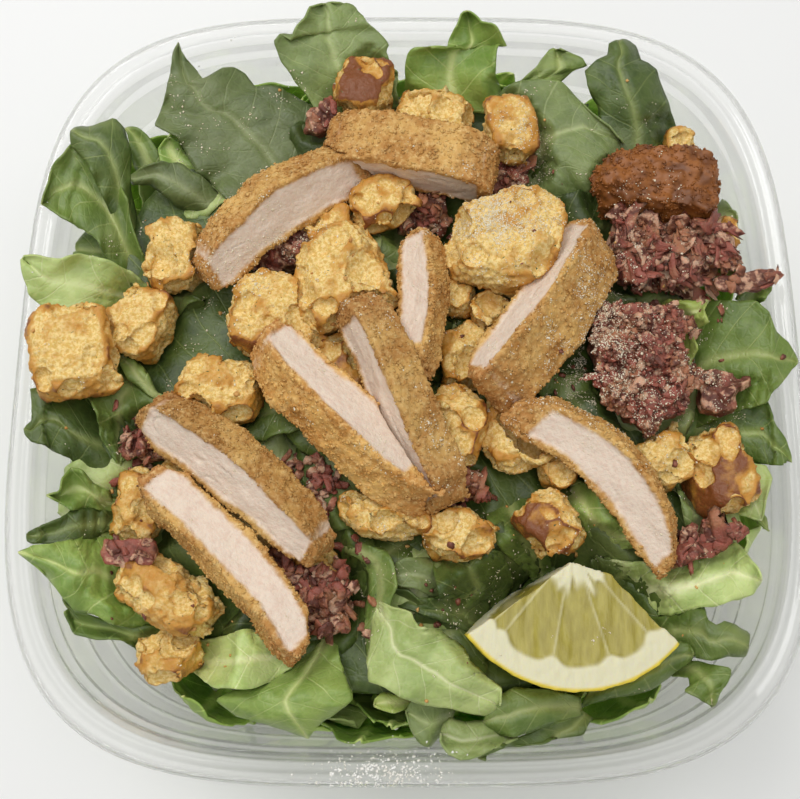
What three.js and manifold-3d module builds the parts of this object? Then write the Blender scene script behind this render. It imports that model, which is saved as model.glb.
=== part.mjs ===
// Chicken caesar salad in a clear, rounded-square plastic bowl.
//
// Millimetres, +Z up. The origin is the centre of the bowl's flat underside, +X is the eater's
// right and +Y points away from the eater. The toppings lie at heights of their own or on the
// bare core of the lettuce; the ones on top are laid first and cut the ones below them, and the
// leaves are then fitted round them all.

import * as THREE from "three";
import { mergeVertices } from "three/addons/utils/BufferGeometryUtils.js";
import Module from "manifold-3d";

const wasm = await Module();
wasm.setup();

// ---------------------------------------------------------------- driving dimensions

const UP = new THREE.Vector3(0, 0, 1);

const BOWL = {
  halfWidth: 90, // the inner rim line, along X
  halfDepth: 91.5, // the inner rim line, along Y
  squareness: 3.8, // exponent of the superellipse
  rimHeight: 56,
  wall: 0.7,
  segments: 36,
  cornerSpread: 0.12, // how far the segments crowd into the corners, in radians
};

// Middle line of the bowl's wall and of its rim: [outward from the inner rim line, height].
const BOWL_WALL = [
  [-15, 0.35],
  [-10.6, 1.3],
  [-8.4, 4.4],
  [-7.4, 9],
  [-4.6, 31],
  [-3.2, 32.6],
  [-1.4, 50],
  [-0.2, 54.6],
  [0.9, 56.6],
];
const BOWL_RIM = [
  [2.1, 56],
  [3.4, 57],
  [5.0, 56.6],
  [5.7, 54.4],
];

const CORE = {
  halfWidth: 77,
  squareness: 2.7,
  floorGap: 0.5, // above the bowl's inner floor
  shoulder: 42, // height where the side turns over
  crown: 50, // height of the middle
  bumps: 1.6,
  segments: 30,
};

const TOPPING_GAP = { growth: 0.9, detail: 0.4 }; // of a topping that cuts another one
const LETTUCE_GAP = { growth: 1.5, detail: 1 }; // of a topping or the bowl that cuts the lettuce
const REST_GAP = 0.4; // between a topping and the bare core below it
const LEAF_THICKNESS = 0.9;
const LEAF_CELLS = { large: [3, 3], small: [3, 2], wall: [2, 2] }; // along and across
const LARGE_LEAF = 7.5; // half-width from which a leaf has the large cells
const LEAF_CLEAR = { wall: 1.3, rim: 2.2, rimInset: 2.6, below: 1.2, above: 1.1 }; // of its middle surface
const ROOT_DEPTH = 2.5; // how far a leaf's base reaches into the core
const SLIVER = { lettuce: 0.5, chicken: 0.3, chickenTip: 0.3, crouton: 0.4, bacon: 0.4 }; // finest detail

// Slices across a breaded chicken breast, the ones on top first: at = middle; turn = heading of
// the long axis; roll = crust up at 0, cut face up at 90; size = length, slice width, thickness;
// bend = how far the middle stands over the ends.
const CHICKEN = [
  { name: "chicken_1", at: [-31, 37.5, 62], turn: 37, roll: -40, pitch: 3, size: [51, 11, 12.5], bend: 5 },
  { name: "chicken_7", at: [2.9, 12.3, 65], turn: -92, roll: -55, pitch: -4, size: [37, 7, 9.8], bend: 1 },
  { name: "chicken_6", at: [-1.8, -12, 67], turn: -65, roll: -27, pitch: 5, size: [53, 10, 11], bend: 3 },
  { name: "chicken_3", at: [-14.6, -17, 66], turn: -44, roll: 58, pitch: 3, size: [56, 13, 12], bend: 2.5 },
  { name: "chicken_8", at: [33, 9.5, 65], turn: -125, roll: -43, pitch: -3, size: [49, 16, 11], bend: 2 },
  { name: "chicken_2", at: [0.5, 52, 63], turn: -13, roll: -2, pitch: -2, size: [43, 14.5, 12], bend: 3 },
  { name: "chicken_4", at: [-39.6, -28.8, 63], turn: -39, roll: -46, pitch: -3, size: [54, 10, 12.3], bend: 2.5 },
  { name: "chicken_5", at: [-41, -48, 61], turn: -46, roll: 74, pitch: 2, size: [54, 10, 11.4], bend: -2 },
  { name: "chicken_9", at: [44, -29, 62], turn: -46, roll: -60, pitch: 3, size: [51, 9, 11.6], bend: 7.5 },
];

const HOOKED_SLICE = { name: "chicken_5", hook: 5, from: 0.35 }; // its far end curls up from this share

// The dark, knobbly tip piece of the chicken, all crust.
const CHICKEN_TIP = { name: "chicken_10", at: [62, 45, 61], turn: -6, size: [33, 20, 14] };

// Torn bread cubes, the ones on top first: [x, y, width, depth, height, turn, height of the middle
// where it doesn't lie on the core].
const CROUTONS = [
  [24.5, 29, 28, 26, 15, -10, 65],
  [-16, 20, 25, 24, 15, 24, 62],
  [-31, 10, 24, 20, 15, -12, 59],
  [-11, 72, 14, 15, 14, -6, 60],
  [-5.5, 41, 18, 11, 10, 18, 60],
  [-45, -7, 20, 16, 12, -6, 59],
  [11, -42, 17, 12, 11, 8, 57],
  [11, -17, 13, 20, 12, -14, 60],
  [-79.5, 2, 20, 23, 12, 12, 61],
  [-67, 11, 15, 18, 13, -20, 56],
  [-58, 27, 14, 18, 14, 10, 56],
  [26, 61, 13, 17, 14, 5, 58],
  [7, 66, 20, 12, 12, -8, 57],
  [-20.5, 36.5, 12, 11, 10, 25, 57],
  [19.5, 12, 10, 8, 8, 40, 58],
  [-5, -37, 22, 12, 11, 4, 57],
  [73, -26.5, 14, 20, 14, 18, 56],
  [60, -25, 13, 13, 12, 10, 55],
  [33, -39.5, 13, 15, 12, 38, 57],
  [14, 2, 12, 17, 11, 5],
  [11, 20, 9, 15, 12, 0],
  [24, -17.5, 16, 18, 10, 12],
  [37, -26, 11, 9, 10, 0],
  [-16, -2, 13, 16, 10, 35],
  [-55, -56, 26, 12, 11, -30, 53],
  [-65, -35, 11, 18, 13, -8],
  [-50, -26, 16, 14, 10, 15],
  [-36, -38, 10, 16, 12, 10],
  [-22, -47, 10, 12, 9, 30],
  [72, 62, 8, 8, 8, 10, 52],
  [78, 34.5, 12, 9, 9, -15, 55],
  [-56, -69, 15, 12, 12, 20, 24],
];

// Clusters of bacon: at = middle, with a height where it doesn't lie on the core; size = extent;
// pieces = torn bits that show.
const BACON = [
  { name: "bacon_1", at: [55, -1, 58], size: [30, 38, 15], pieces: 10 },
  { name: "bacon_2", at: [64, 29, 57], size: [37, 25, 12], pieces: 8 },
  { name: "bacon_3", at: [26, 51], size: [12, 10, 9], pieces: 2 },
  { name: "bacon_4", at: [3, 41], size: [17, 14, 9], pieces: 2 },
  { name: "bacon_5", at: [-33, 31], size: [20, 16, 11], pieces: 2 },
  { name: "bacon_6", at: [-62, -19], size: [10, 11, 8], pieces: 2 },
  { name: "bacon_7", at: [-65, -46, 56], size: [17, 9, 6], pieces: 1 },
  { name: "bacon_8", at: [-20, -55], size: [17, 20, 11], pieces: 3 },
  { name: "bacon_9", at: [-31, -48], size: [11, 12, 8], pieces: 1 },
  { name: "bacon_10", at: [12, -30], size: [13, 9, 8], pieces: 2 },
  { name: "bacon_11", at: [61, -45, 55], size: [10, 13, 9], pieces: 1 },
  { name: "bacon_12", at: [71, -42, 55], size: [8, 11, 7], pieces: 1 },
  { name: "bacon_13", at: [-24, 64, 57], size: [8, 7, 6], pieces: 1 },
  { name: "bacon_14", at: [74, -8, 58], size: [13, 15, 7], pieces: 1 },
  { name: "bacon_15", at: [81, 19, 60], size: [17, 6, 4], pieces: 1 },
];

// A wedge of lemon: a sector of a halved lemon, its cross cut facing up.
const LEMON = {
  at: [37, -46, 64], // the lemon's centre, on the cut face
  radius: 31.5,
  depth: 27, // from the cut face down
  from: 218, // degrees, the left corner of the rind
  to: 318, // degrees, the right corner of the rind
  tip: [[-0.5, -3], [8.5, -5.4]], // the trimmed core, from the centre
  pitch: 5, // degrees the face leans to the right
};

// Half-width of a leaf along its length, as a share of its widest, from base to tip.
const SIDES = {
  even: [0.9, 1, 1, 1, 0.95, 0.6],
  spear: [0.5, 0.8, 1, 0.85, 0.5, 0.03],
  lobe: [1, 1, 0.72, 0.45, 0.12, 0.03],
  shoulder: [0.65, 0.75, 0.85, 1, 0.6, 0.04],
  paddle: [0.4, 0.65, 0.9, 1, 0.95, 0.4],
  torn: [0.8, 1, 0.7, 1, 0.8, 0.35],
  fan: [0.15, 0.4, 0.7, 1, 0.85, 0.1],
};

// Leaves: a curved spine, the shape and half-width of both sides, the rise of both edges, and the
// height and count of the ripples along them. The spine is [base, middle, tip]; the base's height
// is left out, because it is rooted in the core.
const LEAVES = [
  {
    spine: [[-36, 50], [-49, 69, 56], [-61, 88, 58]],
    left: ["shoulder", 15], right: ["lobe", 21], rise: [0, -2],
  },
  {
    spine: [[-15, 60], [-19, 80, 62], [-20, 95, 65]],
    left: ["shoulder", 13], right: ["shoulder", 13], rise: [2, 0],
  },
  {
    spine: [[9, 66], [14, 80, 60], [16, 92, 63]],
    left: ["even", 9], right: ["torn", 9], rise: [3, 4], ripple: [1.8, 2],
  },
  { spine: [[24, 66], [34, 80, 54], [39, 87, 56]], left: ["spear", 6], right: ["shoulder", 9] },
  {
    spine: [[54, 49], [59, 70, 60], [54, 87, 61]],
    left: ["spear", 9], right: ["shoulder", 10], rise: [-3, -4],
  },
  {
    spine: [[30, 38], [39, 58, 58], [47, 76, 56]],
    left: ["even", 10], right: ["shoulder", 14], rise: [-2, 1],
  },
  { spine: [[-68, 26], [-79, 45, 56], [-86, 60, 60]], left: ["even", 7], right: ["even", 8], rise: [1, 3] },
  {
    spine: [[-64, 32], [-73, 50, 60], [-79, 63, 62]],
    left: ["paddle", 8], right: ["spear", 6], rise: [-1, -3],
  },
  { spine: [[-58, 42], [-68, 59, 51], [-73, 67, 53]], left: ["even", 5], right: ["spear", 4] },
  { spine: [[-50, 44], [-59, 60, 51], [-65, 67, 53]], left: ["spear", 4], right: ["spear", 4.5] },
  {
    spine: [[-47, 40], [-59, 49, 56], [-73, 53, 54]],
    left: ["paddle", 6], right: ["spear", 5], rise: [-3, 0],
  },
  { spine: [[-50, 35], [-62, 42, 49], [-73, 49, 46]], left: ["even", 8], right: ["even", 7] },
  {
    spine: [[-62, 15], [-79, 18, 58], [-95, 25, 60]],
    left: ["even", 7.5], right: ["paddle", 8], rise: [0, 2], ripple: [0.8, 2],
  },
  {
    spine: [[-66, -12], [-81, -11, 55], [-91, -9, 58]],
    left: ["even", 8], right: ["torn", 8], rise: [-3, -2], ripple: [1.2, 1.5],
  },
  {
    spine: [[-64, -2], [-70, -15, 54], [-72, -27, 46]],
    left: ["spear", 6], right: ["spear", 5], rise: [2, -1],
  },
  { spine: [[-58, -9], [-66, -2, 53], [-75, 3, 52]], left: ["even", 4], right: ["spear", 4] },
  {
    spine: [[-65, -31], [-79, -30, 52], [-86, -27, 53]],
    left: ["torn", 5], right: ["even", 5], rise: [2, 2], ripple: [1.6, 2],
  },
  {
    spine: [[-64, -36], [-80, -37, 55], [-90, -42, 55]],
    left: ["spear", 4.5], right: ["even", 4], rise: [-1, 0],
  },
  {
    spine: [[-58, -52], [-73, -51, 58], [-87, -45, 60]],
    left: ["even", 11], right: ["paddle", 7], rise: [-3, -1], ripple: [1.4, 3],
  },
  {
    spine: [[-52, -54], [-70, -60, 45], [-86, -58, 46]],
    left: ["even", 7], right: ["even", 7], rise: [-1, 1],
  },
  {
    spine: [[-26, -64], [-40, -69, 56], [-55, -71, 49]],
    left: ["even", 7], right: ["paddle", 6], rise: [-4, 0], ripple: [0.8, 3],
  },
  {
    spine: [[-19, -59], [-23, -74, 59], [-25, -90, 51]],
    left: ["fan", 11], right: ["fan", 20], rise: [-2, -4],
  },
  {
    spine: [[-17, -42], [-3, -49, 59], [-9, -70, 52]],
    left: ["even", 5], right: ["even", 5], rise: [-1, -2],
  },
  {
    spine: [[-5, -54], [-8, -75, 63], [22, -80, 57]],
    left: ["even", 8], right: ["torn", 8], rise: [2, -3], ripple: [1.4, 3],
  },
  {
    spine: [[11, -66], [11, -51, 61], [10, -40, 65]],
    left: ["spear", 8], right: ["lobe", 14], rise: [-2, -3],
  },
  { spine: [[10, -57], [1, -51, 58], [-6, -51, 54]], left: ["even", 5], right: ["even", 5] },
  {
    spine: [[24, -72], [12, -88, 55], [1, -82, 54]],
    left: ["even", 4], right: ["paddle", 6], rise: [3, -2], ripple: [1, 2],
  },
  {
    spine: [[38, -68], [31, -80, 55], [17, -85, 53]],
    left: ["even", 6], right: ["even", 5], rise: [-2, 0],
  },
  {
    spine: [[40, -68], [34, -86, 51], [14, -91, 53]],
    left: ["even", 4], right: ["even", 5], rise: [0, 1], ripple: [0.8, 2],
  },
  {
    spine: [[42, -66], [57, -77, 55], [66, -66, 55]],
    left: ["even", 6], right: ["torn", 7], rise: [0, -3],
  },
  {
    spine: [[52, -56], [67, -61, 58], [80, -66, 57]],
    left: ["torn", 5], right: ["paddle", 6], rise: [-1, -2],
  },
  { spine: [[54, -60], [67, -72, 55], [74, -80, 52]], left: ["paddle", 5], right: ["even", 5] },
  {
    spine: [[46, -54], [65, -54, 58], [83, -50, 59]],
    left: ["paddle", 7], right: ["even", 7.5], rise: [2, -2], ripple: [0.8, 2],
  },
  { spine: [[64, -18], [67, -36, 56], [71, -52, 54]], left: ["even", 4], right: ["even", 4], rise: [1, 1] },
  { spine: [[66, -28], [82, -30, 54], [87, -41, 52]], left: ["even", 6], right: ["even", 6], rise: [1, 0] },
  { spine: [[68, -6], [82, 3, 58], [89, 21, 59]], left: ["even", 10], right: ["even", 8], rise: [0, 2] },
  { spine: [[68, -4], [83, -11, 55], [91, -27, 54]], left: ["torn", 6], right: ["even", 9], rise: [1, -2] },
  { spine: [[68, 28], [79, 29, 54], [85, 24, 55]], left: ["spear", 4], right: ["spear", 4] },
  {
    spine: [[36, -32], [43, -43, 59], [58, -43, 57]],
    left: ["even", 5], right: ["torn", 5], rise: [2, 1], ripple: [1.8, 3],
  },
  {
    spine: [[31, -26], [25, -37, 56], [20, -51, 54]],
    left: ["paddle", 9], right: ["even", 8], rise: [-2, -1],
  },
  {
    over: true, spine: [[69, 10], [68, 14, 66], [74, 13, 64]],
    left: ["spear", 4], right: ["paddle", 4], rise: [2, 1], ripple: [1, 2],
  },
  {
    spine: [[-62, 18], [-52, 20, 55], [-43, 13, 53]],
    left: ["even", 6], right: ["even", 6], rise: [0, -1],
  },
  {
    spine: [[-45, 21], [-41, 11, 54], [-39, 1, 50]],
    left: ["even", 5.5], right: ["even", 5.5], rise: [0, 1],
  },
  { spine: [[-59, 18], [-56, 8, 54], [-60, -1, 50]], left: ["even", 5], right: ["even", 5], rise: [-1, 0] },
  { spine: [[-35, -7], [-32, -17, 57], [-26, -26, 53]], left: ["spear", 4], right: ["spear", 5] },
];

// Leaves pressed upright against the wall, seen through the clear side.
const WALL_LEAVES = { count: 13, halfWidth: [9, 14], low: 5, middle: 22, high: [34, 46], inset: 2.2 };

const LUMP_SQUARENESS = 4.5; // of croutons, bacon and the chicken's tip

const LOOKS = {
  bowl: { colour: "#dfe6e8", roughness: 0.08 },
  lettuce: { colour: "#4f7a2c", roughness: 0.5 },
  chicken: { colour: "#c48a45", roughness: 0.8 },
  chickenTip: { colour: "#9a5a2a", roughness: 0.8 },
  crouton: { colour: "#dba648", roughness: 0.85 },
  bacon: { colour: "#9c4a44", roughness: 0.6 },
  lemon: { colour: "#d9cf6a", roughness: 0.45 },
};

// ---------------------------------------------------------------- helpers: numbers

/** A repeatable random source between 0 and 1. */
function seededRandom(seed) {
  let state = seed >>> 0;
  return () => {
    state = (state + 0x6d2b79f5) >>> 0;
    let mixed = Math.imul(state ^ (state >>> 15), state | 1);
    mixed ^= mixed + Math.imul(mixed ^ (mixed >>> 7), mixed | 61);
    return ((mixed ^ (mixed >>> 14)) >>> 0) / 4294967296;
  };
}

/** The random value of one lattice point, between -1 and 1. */
function latticeValue(i, j, k, seed) {
  let mixed = Math.imul(i, 374761393) + Math.imul(j, 668265263) + Math.imul(k, 2147483647) + seed * 144665;
  mixed = Math.imul(mixed ^ (mixed >>> 13), 1274126177);
  return (((mixed ^ (mixed >>> 16)) >>> 0) / 4294967296) * 2 - 1;
}

/** Smooth noise between -1 and 1, one lattice cell per unit. */
function noise(x, y, z, seed) {
  const [i, j, k] = [Math.floor(x), Math.floor(y), Math.floor(z)];
  const ease = (t) => t * t * (3 - 2 * t);
  const [u, v, w] = [ease(x - i), ease(y - j), ease(z - k)];
  let total = 0;
  for (let corner = 0; corner < 8; corner += 1) {
    const [a, b, c] = [corner & 1, (corner >> 1) & 1, (corner >> 2) & 1];
    const weight = (a ? u : 1 - u) * (b ? v : 1 - v) * (c ? w : 1 - w);
    total += weight * latticeValue(i + a, j + b, k + c, seed);
  }
  return total;
}

/** A value between evenly spaced stations. */
function along(stations, share) {
  const place = Math.min(Math.max(share, 0), 1) * (stations.length - 1);
  const index = Math.min(Math.floor(place), stations.length - 2);
  return THREE.MathUtils.lerp(stations[index], stations[index + 1], place - index);
}

// ---------------------------------------------------------------- helpers: solids

/** A closed mesh with shared vertices, positions only and faces that point out. */
function closed(geometry) {
  const bare = new THREE.BufferGeometry();
  bare.setAttribute("position", geometry.getAttribute("position").clone());
  bare.setIndex(geometry.getIndex());
  const welded = mergeVertices(bare, 1e-4);
  const index = welded.getIndex().array;
  const kept = [];
  for (let i = 0; i < index.length; i += 3) {
    const [a, b, c] = [index[i], index[i + 1], index[i + 2]];
    if (a !== b && b !== c && c !== a) kept.push(a, b, c);
  }
  if (signedVolume(welded.getAttribute("position").array, kept) < 0) kept.reverse();
  welded.setIndex(kept);
  return welded;
}

/** Volume inside a triangle mesh, negative where its faces point in. */
function signedVolume(points, index) {
  let volume = 0;
  for (let i = 0; i < index.length; i += 3) {
    const [a, b, c] = [index[i] * 3, index[i + 1] * 3, index[i + 2] * 3];
    volume += points[a] * (points[b + 1] * points[c + 2] - points[b + 2] * points[c + 1]);
    volume += points[a + 1] * (points[b + 2] * points[c] - points[b] * points[c + 2]);
    volume += points[a + 2] * (points[b] * points[c + 1] - points[b + 1] * points[c]);
  }
  return volume / 6;
}

/** The solid of a closed mesh. */
function solidOf(geometry) {
  return new wasm.Manifold(
    new wasm.Mesh({
      numProp: 3,
      vertProperties: new Float32Array(geometry.getAttribute("position").array),
      triVerts: new Uint32Array(geometry.getIndex().array),
    }),
  );
}

/** The largest of a solid's separate pieces. */
function largestPiece(solid) {
  return solid.decompose().reduce((best, piece) => (piece.volume() > best.volume() ? piece : best));
}

/** The mesh of a solid's largest piece, its finest detail merged; loose scraps are dropped. */
function meshOf(solid, finest) {
  const mesh = largestPiece(largestPiece(solid).simplify(finest)).getMesh();
  const geometry = new THREE.BufferGeometry();
  geometry.setAttribute("position", new THREE.BufferAttribute(new Float32Array(mesh.vertProperties), 3));
  geometry.setIndex([...mesh.triVerts]);
  return geometry;
}

/** The mesh grown outward along its averaged normals. */
function inflated(geometry, amount) {
  const grown = geometry.clone();
  grown.computeVertexNormals();
  const points = grown.getAttribute("position");
  const normals = grown.getAttribute("normal");
  for (let i = 0; i < points.count; i += 1) {
    points.setXYZ(
      i,
      points.getX(i) + normals.getX(i) * amount,
      points.getY(i) + normals.getY(i) * amount,
      points.getZ(i) + normals.getZ(i) * amount,
    );
  }
  grown.deleteAttribute("normal");
  return grown;
}

/** The solid that keeps a gap round a mesh when it is cut from a neighbour. */
function cutterOf(geometry, { growth, detail }) {
  return solidOf(inflated(geometry, growth)).simplify(detail);
}

/** All meshes fused into one solid. */
function fused(geometries) {
  return geometries.map(solidOf).reduce((whole, piece) => whole.add(piece));
}

/** Every point of a mesh moved by a function that changes it in place. */
function reshaped(geometry, change) {
  const points = geometry.getAttribute("position");
  const point = new THREE.Vector3();
  for (let i = 0; i < points.count; i += 1) {
    change(point.fromBufferAttribute(points, i));
    points.setXYZ(i, point.x, point.y, point.z);
  }
  return geometry;
}

/** Greatest and least heights of solids over a grid of 1 mm cells. */
class HeightMap {
  constructor(half = 104) {
    this.half = half;
    this.side = half * 2 + 1;
    this.top = new Float32Array(this.side * this.side).fill(-Infinity);
    this.low = new Float32Array(this.side * this.side).fill(Infinity);
  }

  /** Adds a mesh in world coordinates. */
  add(geometry) {
    const points = geometry.getAttribute("position");
    const index = geometry.getIndex().array;
    const [a, b, c] = [new THREE.Vector3(), new THREE.Vector3(), new THREE.Vector3()];
    for (let i = 0; i < index.length; i += 3) {
      a.fromBufferAttribute(points, index[i]);
      b.fromBufferAttribute(points, index[i + 1]);
      c.fromBufferAttribute(points, index[i + 2]);
      this.addTriangle(a, b, c);
    }
    return this;
  }

  addTriangle(a, b, c) {
    const area = (b.x - a.x) * (c.y - a.y) - (c.x - a.x) * (b.y - a.y);
    for (const corner of [a, b, c]) this.note(Math.round(corner.x), Math.round(corner.y), corner.z);
    if (Math.abs(area) < 1e-6) return;
    const lastX = Math.floor(Math.max(a.x, b.x, c.x));
    const lastY = Math.floor(Math.max(a.y, b.y, c.y));
    for (let x = Math.ceil(Math.min(a.x, b.x, c.x)); x <= lastX; x += 1) {
      for (let y = Math.ceil(Math.min(a.y, b.y, c.y)); y <= lastY; y += 1) {
        const s = ((x - a.x) * (c.y - a.y) - (c.x - a.x) * (y - a.y)) / area;
        const t = ((b.x - a.x) * (y - a.y) - (x - a.x) * (b.y - a.y)) / area;
        if (s >= 0 && t >= 0 && s + t <= 1) this.note(x, y, a.z + s * (b.z - a.z) + t * (c.z - a.z));
      }
    }
  }

  note(x, y, z) {
    if (Math.max(Math.abs(x), Math.abs(y)) > this.half) return;
    const cell = this.cell(x, y);
    this.top[cell] = Math.max(this.top[cell], z);
    this.low[cell] = Math.min(this.low[cell], z);
  }

  cell(x, y) {
    return (Math.round(x) + this.half) * this.side + Math.round(y) + this.half;
  }

  /** The change of height that lays a mesh on this map. */
  liftOf(geometry) {
    const piece = new HeightMap(this.half).add(geometry);
    let change = -Infinity;
    for (let i = 0; i < this.top.length; i += 1) {
      if (piece.low[i] < Infinity) change = Math.max(change, this.top[i] - piece.low[i]);
    }
    return change;
  }
}

// ---------------------------------------------------------------- the bowl

/** Maps a turned shape's circle onto the bowl's rounded square. */
function squared(geometry, squareness) {
  return reshaped(geometry, (point) => {
    const radius = Math.hypot(point.x, point.y);
    if (radius < 1e-6) return;
    const turn = Math.atan2(point.y, point.x);
    const angle = turn + BOWL.cornerSpread * Math.sin(4 * turn);
    const [cos, sin] = [Math.cos(angle), Math.sin(angle)];
    const reach = (Math.abs(cos) ** squareness + Math.abs(sin) ** squareness) ** (-1 / squareness);
    point.x = radius * reach * cos;
    point.y = (radius * reach * sin * BOWL.halfDepth) / BOWL.halfWidth;
  });
}

/** The turned size of the rounded square that passes through a point. */
function planRadius(x, y) {
  const deep = (y * BOWL.halfWidth) / BOWL.halfDepth;
  return (Math.abs(x) ** BOWL.squareness + Math.abs(deep) ** BOWL.squareness) ** (1 / BOWL.squareness);
}

/** The bowl's inside at a height, as a turned size. */
function innerRadius(z) {
  const upper = BOWL_WALL.find((stop, i) => i > 0 && stop[1] > z) ?? BOWL_WALL.at(-1);
  const lower = BOWL_WALL[BOWL_WALL.indexOf(upper) - 1];
  const share = THREE.MathUtils.clamp((z - lower[1]) / (upper[1] - lower[1]), 0, 1);
  return BOWL.halfWidth + THREE.MathUtils.lerp(lower[0], upper[0], share) - BOWL.wall / 2;
}

/** The wall line moved sideways by half the wall. */
function wallSide(line, offset) {
  return line.map((point, i) => {
    const before = line[Math.max(i - 1, 0)];
    const after = line[Math.min(i + 1, line.length - 1)];
    const tangent = new THREE.Vector2(after[0] - before[0], after[1] - before[1]).normalize();
    return new THREE.Vector2(point[0] + tangent.y * offset, point[1] - tangent.x * offset);
  });
}

function bowlGeometry() {
  const line = [...BOWL_WALL, ...BOWL_RIM].map(([out, z]) => [BOWL.halfWidth + out, z]);
  line.unshift([0, BOWL.wall / 2]);
  const outside = wallSide(line, BOWL.wall / 2);
  const inside = wallSide(line, -BOWL.wall / 2);
  for (const [side, level] of [[outside, 0], [inside, BOWL.wall]]) {
    side[0].set(0, level);
    side[1].y = level;
  }
  const profile = [...outside, ...inside.reverse()];
  const turned = new THREE.LatheGeometry(profile, BOWL.segments).rotateX(Math.PI / 2);
  return closed(squared(turned, BOWL.squareness));
}

// ---------------------------------------------------------------- the lettuce's core

/** Height of the bare core's top. */
function coreTop(x, y) {
  const share = Math.hypot(x, y) / CORE.halfWidth;
  const dome = THREE.MathUtils.lerp(CORE.crown, CORE.shoulder, Math.min(share, 1.2) ** 3);
  return dome + CORE.bumps * noise(x / 13, y / 13, 0, 3);
}

function coreGeometry() {
  const floor = BOWL.wall + CORE.floorGap;
  const rings = [1, 0.84, 0.66, 0.46, 0.24];
  const profile = [
    new THREE.Vector2(0, floor),
    new THREE.Vector2(CORE.halfWidth * 0.84, floor),
    new THREE.Vector2(CORE.halfWidth * 0.93, floor + 7),
    new THREE.Vector2(CORE.halfWidth * 0.97, 22),
    ...rings.map((ring) => new THREE.Vector2(CORE.halfWidth * ring, CORE.crown)),
    new THREE.Vector2(0, CORE.crown),
  ];
  const turned = new THREE.LatheGeometry(profile, CORE.segments).rotateX(Math.PI / 2);
  const core = squared(turned, CORE.squareness);
  reshaped(core, (point) => {
    const swell = 1 + 0.025 * noise(point.x / 16, point.y / 16, point.z / 14, 5);
    if (point.z > floor) {
      point.x *= swell;
      point.y *= swell;
    }
    if (point.z === CORE.crown) point.z = coreTop(point.x, point.y);
  });
  return closed(core);
}

// ---------------------------------------------------------------- toppings

/** A box of unit cells whose faces are split into smaller cells. */
function gridBox(cells) {
  return closed(new THREE.BoxGeometry(2, 2, 2, ...cells));
}

/** One slice of breaded chicken, its long axis along X and its crust facing up. */
function chickenGeometry(slice, seed) {
  const { size: [length, wide, thick], bend } = slice;
  const hook = slice.name === HOOKED_SLICE.name ? HOOKED_SLICE.hook : 0;
  return reshaped(gridBox([9, 2, 3]), (point) => {
    const share = point.x;
    const end = Math.sqrt(Math.max(1 - Math.abs(share) ** 5, 0));
    const swell = 1 + 0.1 * noise(share * 2.2, 0, 0, seed) - 0.08 * share;
    const crust = Math.abs(point.z) > 0.9 ? 0.55 * noise(share * 9, point.y * 2, point.z * 3, seed + 1) : 0;
    const side = point.y;
    const thickness = (thick / 2) * (0.4 + 0.6 * end) * swell;
    point.x = (share * length) / 2 + 0.5 * noise(point.z * 2, side * 2, share, seed + 2);
    point.y = (side * wide * (0.88 + 0.12 * end)) / 2 + 1.1 * noise(share * 1.6, 0.5, 0, seed + 3);
    point.z = point.z * thickness + crust + bend * (0.5 - share * share);
    point.z += hook * Math.max(share - HOOKED_SLICE.from, 0) ** 2;
  });
}

/** A rounded, torn lump with a few flat broken faces. */
function lumpGeometry([width, depth, height], cells, bumps, chops, seed) {
  const random = seededRandom(seed);
  const planes = Array.from({ length: chops }, () => {
    const normal = new THREE.Vector3(random() * 2 - 1, random() * 2 - 1, random() * 1.2 - 0.6).normalize();
    return { normal, distance: 0.72 + 0.16 * random() };
  });
  return reshaped(gridBox(cells), (point) => {
    const sum = point.toArray().reduce((total, side) => total + Math.abs(side) ** LUMP_SQUARENESS, 0);
    point.divideScalar(sum ** (1 / LUMP_SQUARENESS));
    for (const { normal, distance } of planes) {
      const over = point.dot(normal) - distance;
      if (over > 0) point.addScaledVector(normal, -over * 0.8);
    }
    const bump = 1 + bumps * noise(point.x * 1.7, point.y * 1.7, point.z * 1.7, seed);
    point.multiplyScalar(bump);
    point.set((point.x * width) / 2, (point.y * depth) / 2, (point.z * height) / 2);
  });
}

/** A bent, torn bit of bacon. */
function baconBit(length, width, thickness, random) {
  const curl = (random() - 0.5) * 3;
  const twist = (random() - 0.5) * 1.2;
  const taper = 0.5 + 0.5 * random();
  return reshaped(gridBox([2, 1, 1]), (point) => {
    const share = point.x;
    const half = (width / 2) * (share > 0.5 ? taper : 1) * (1 + 0.25 * Math.sin(share * 5 + curl));
    const [y, z] = [point.y * half, (point.z * thickness) / 2];
    const angle = twist * share;
    point.x = (share * length) / 2;
    point.y = y * Math.cos(angle) - z * Math.sin(angle);
    point.z = y * Math.sin(angle) + z * Math.cos(angle) + curl * share * share;
  });
}

/** A cluster of bacon: a low lump with torn bits fused over it. */
function baconGeometry({ size: [w, d, h], pieces }, seed) {
  const random = seededRandom(seed);
  const bits = [lumpGeometry([w * 0.82, d * 0.82, h * 0.8], [3, 3, 1], 0.12, 1, seed)];
  for (let i = 0; i < pieces; i += 1) {
    const angle = i * 2.4 + random() * 0.6;
    const reach = Math.sqrt((i + 0.4) / pieces) * 0.44;
    const bit = baconBit(5 + random() * 5, 3.4 + random() * 2.4, 1.8 + random() * 1.2, random);
    bit.rotateX((random() - 0.5) * 1.4).rotateY((random() - 0.5) * 0.7).rotateZ(random() * Math.PI);
    const rise = h * (0.42 - 0.9 * reach * reach);
    bit.translate(Math.cos(angle) * reach * w, Math.sin(angle) * reach * d, rise);
    bits.push(bit);
  }
  return meshOf(fused(bits), SLIVER.bacon);
}

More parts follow.
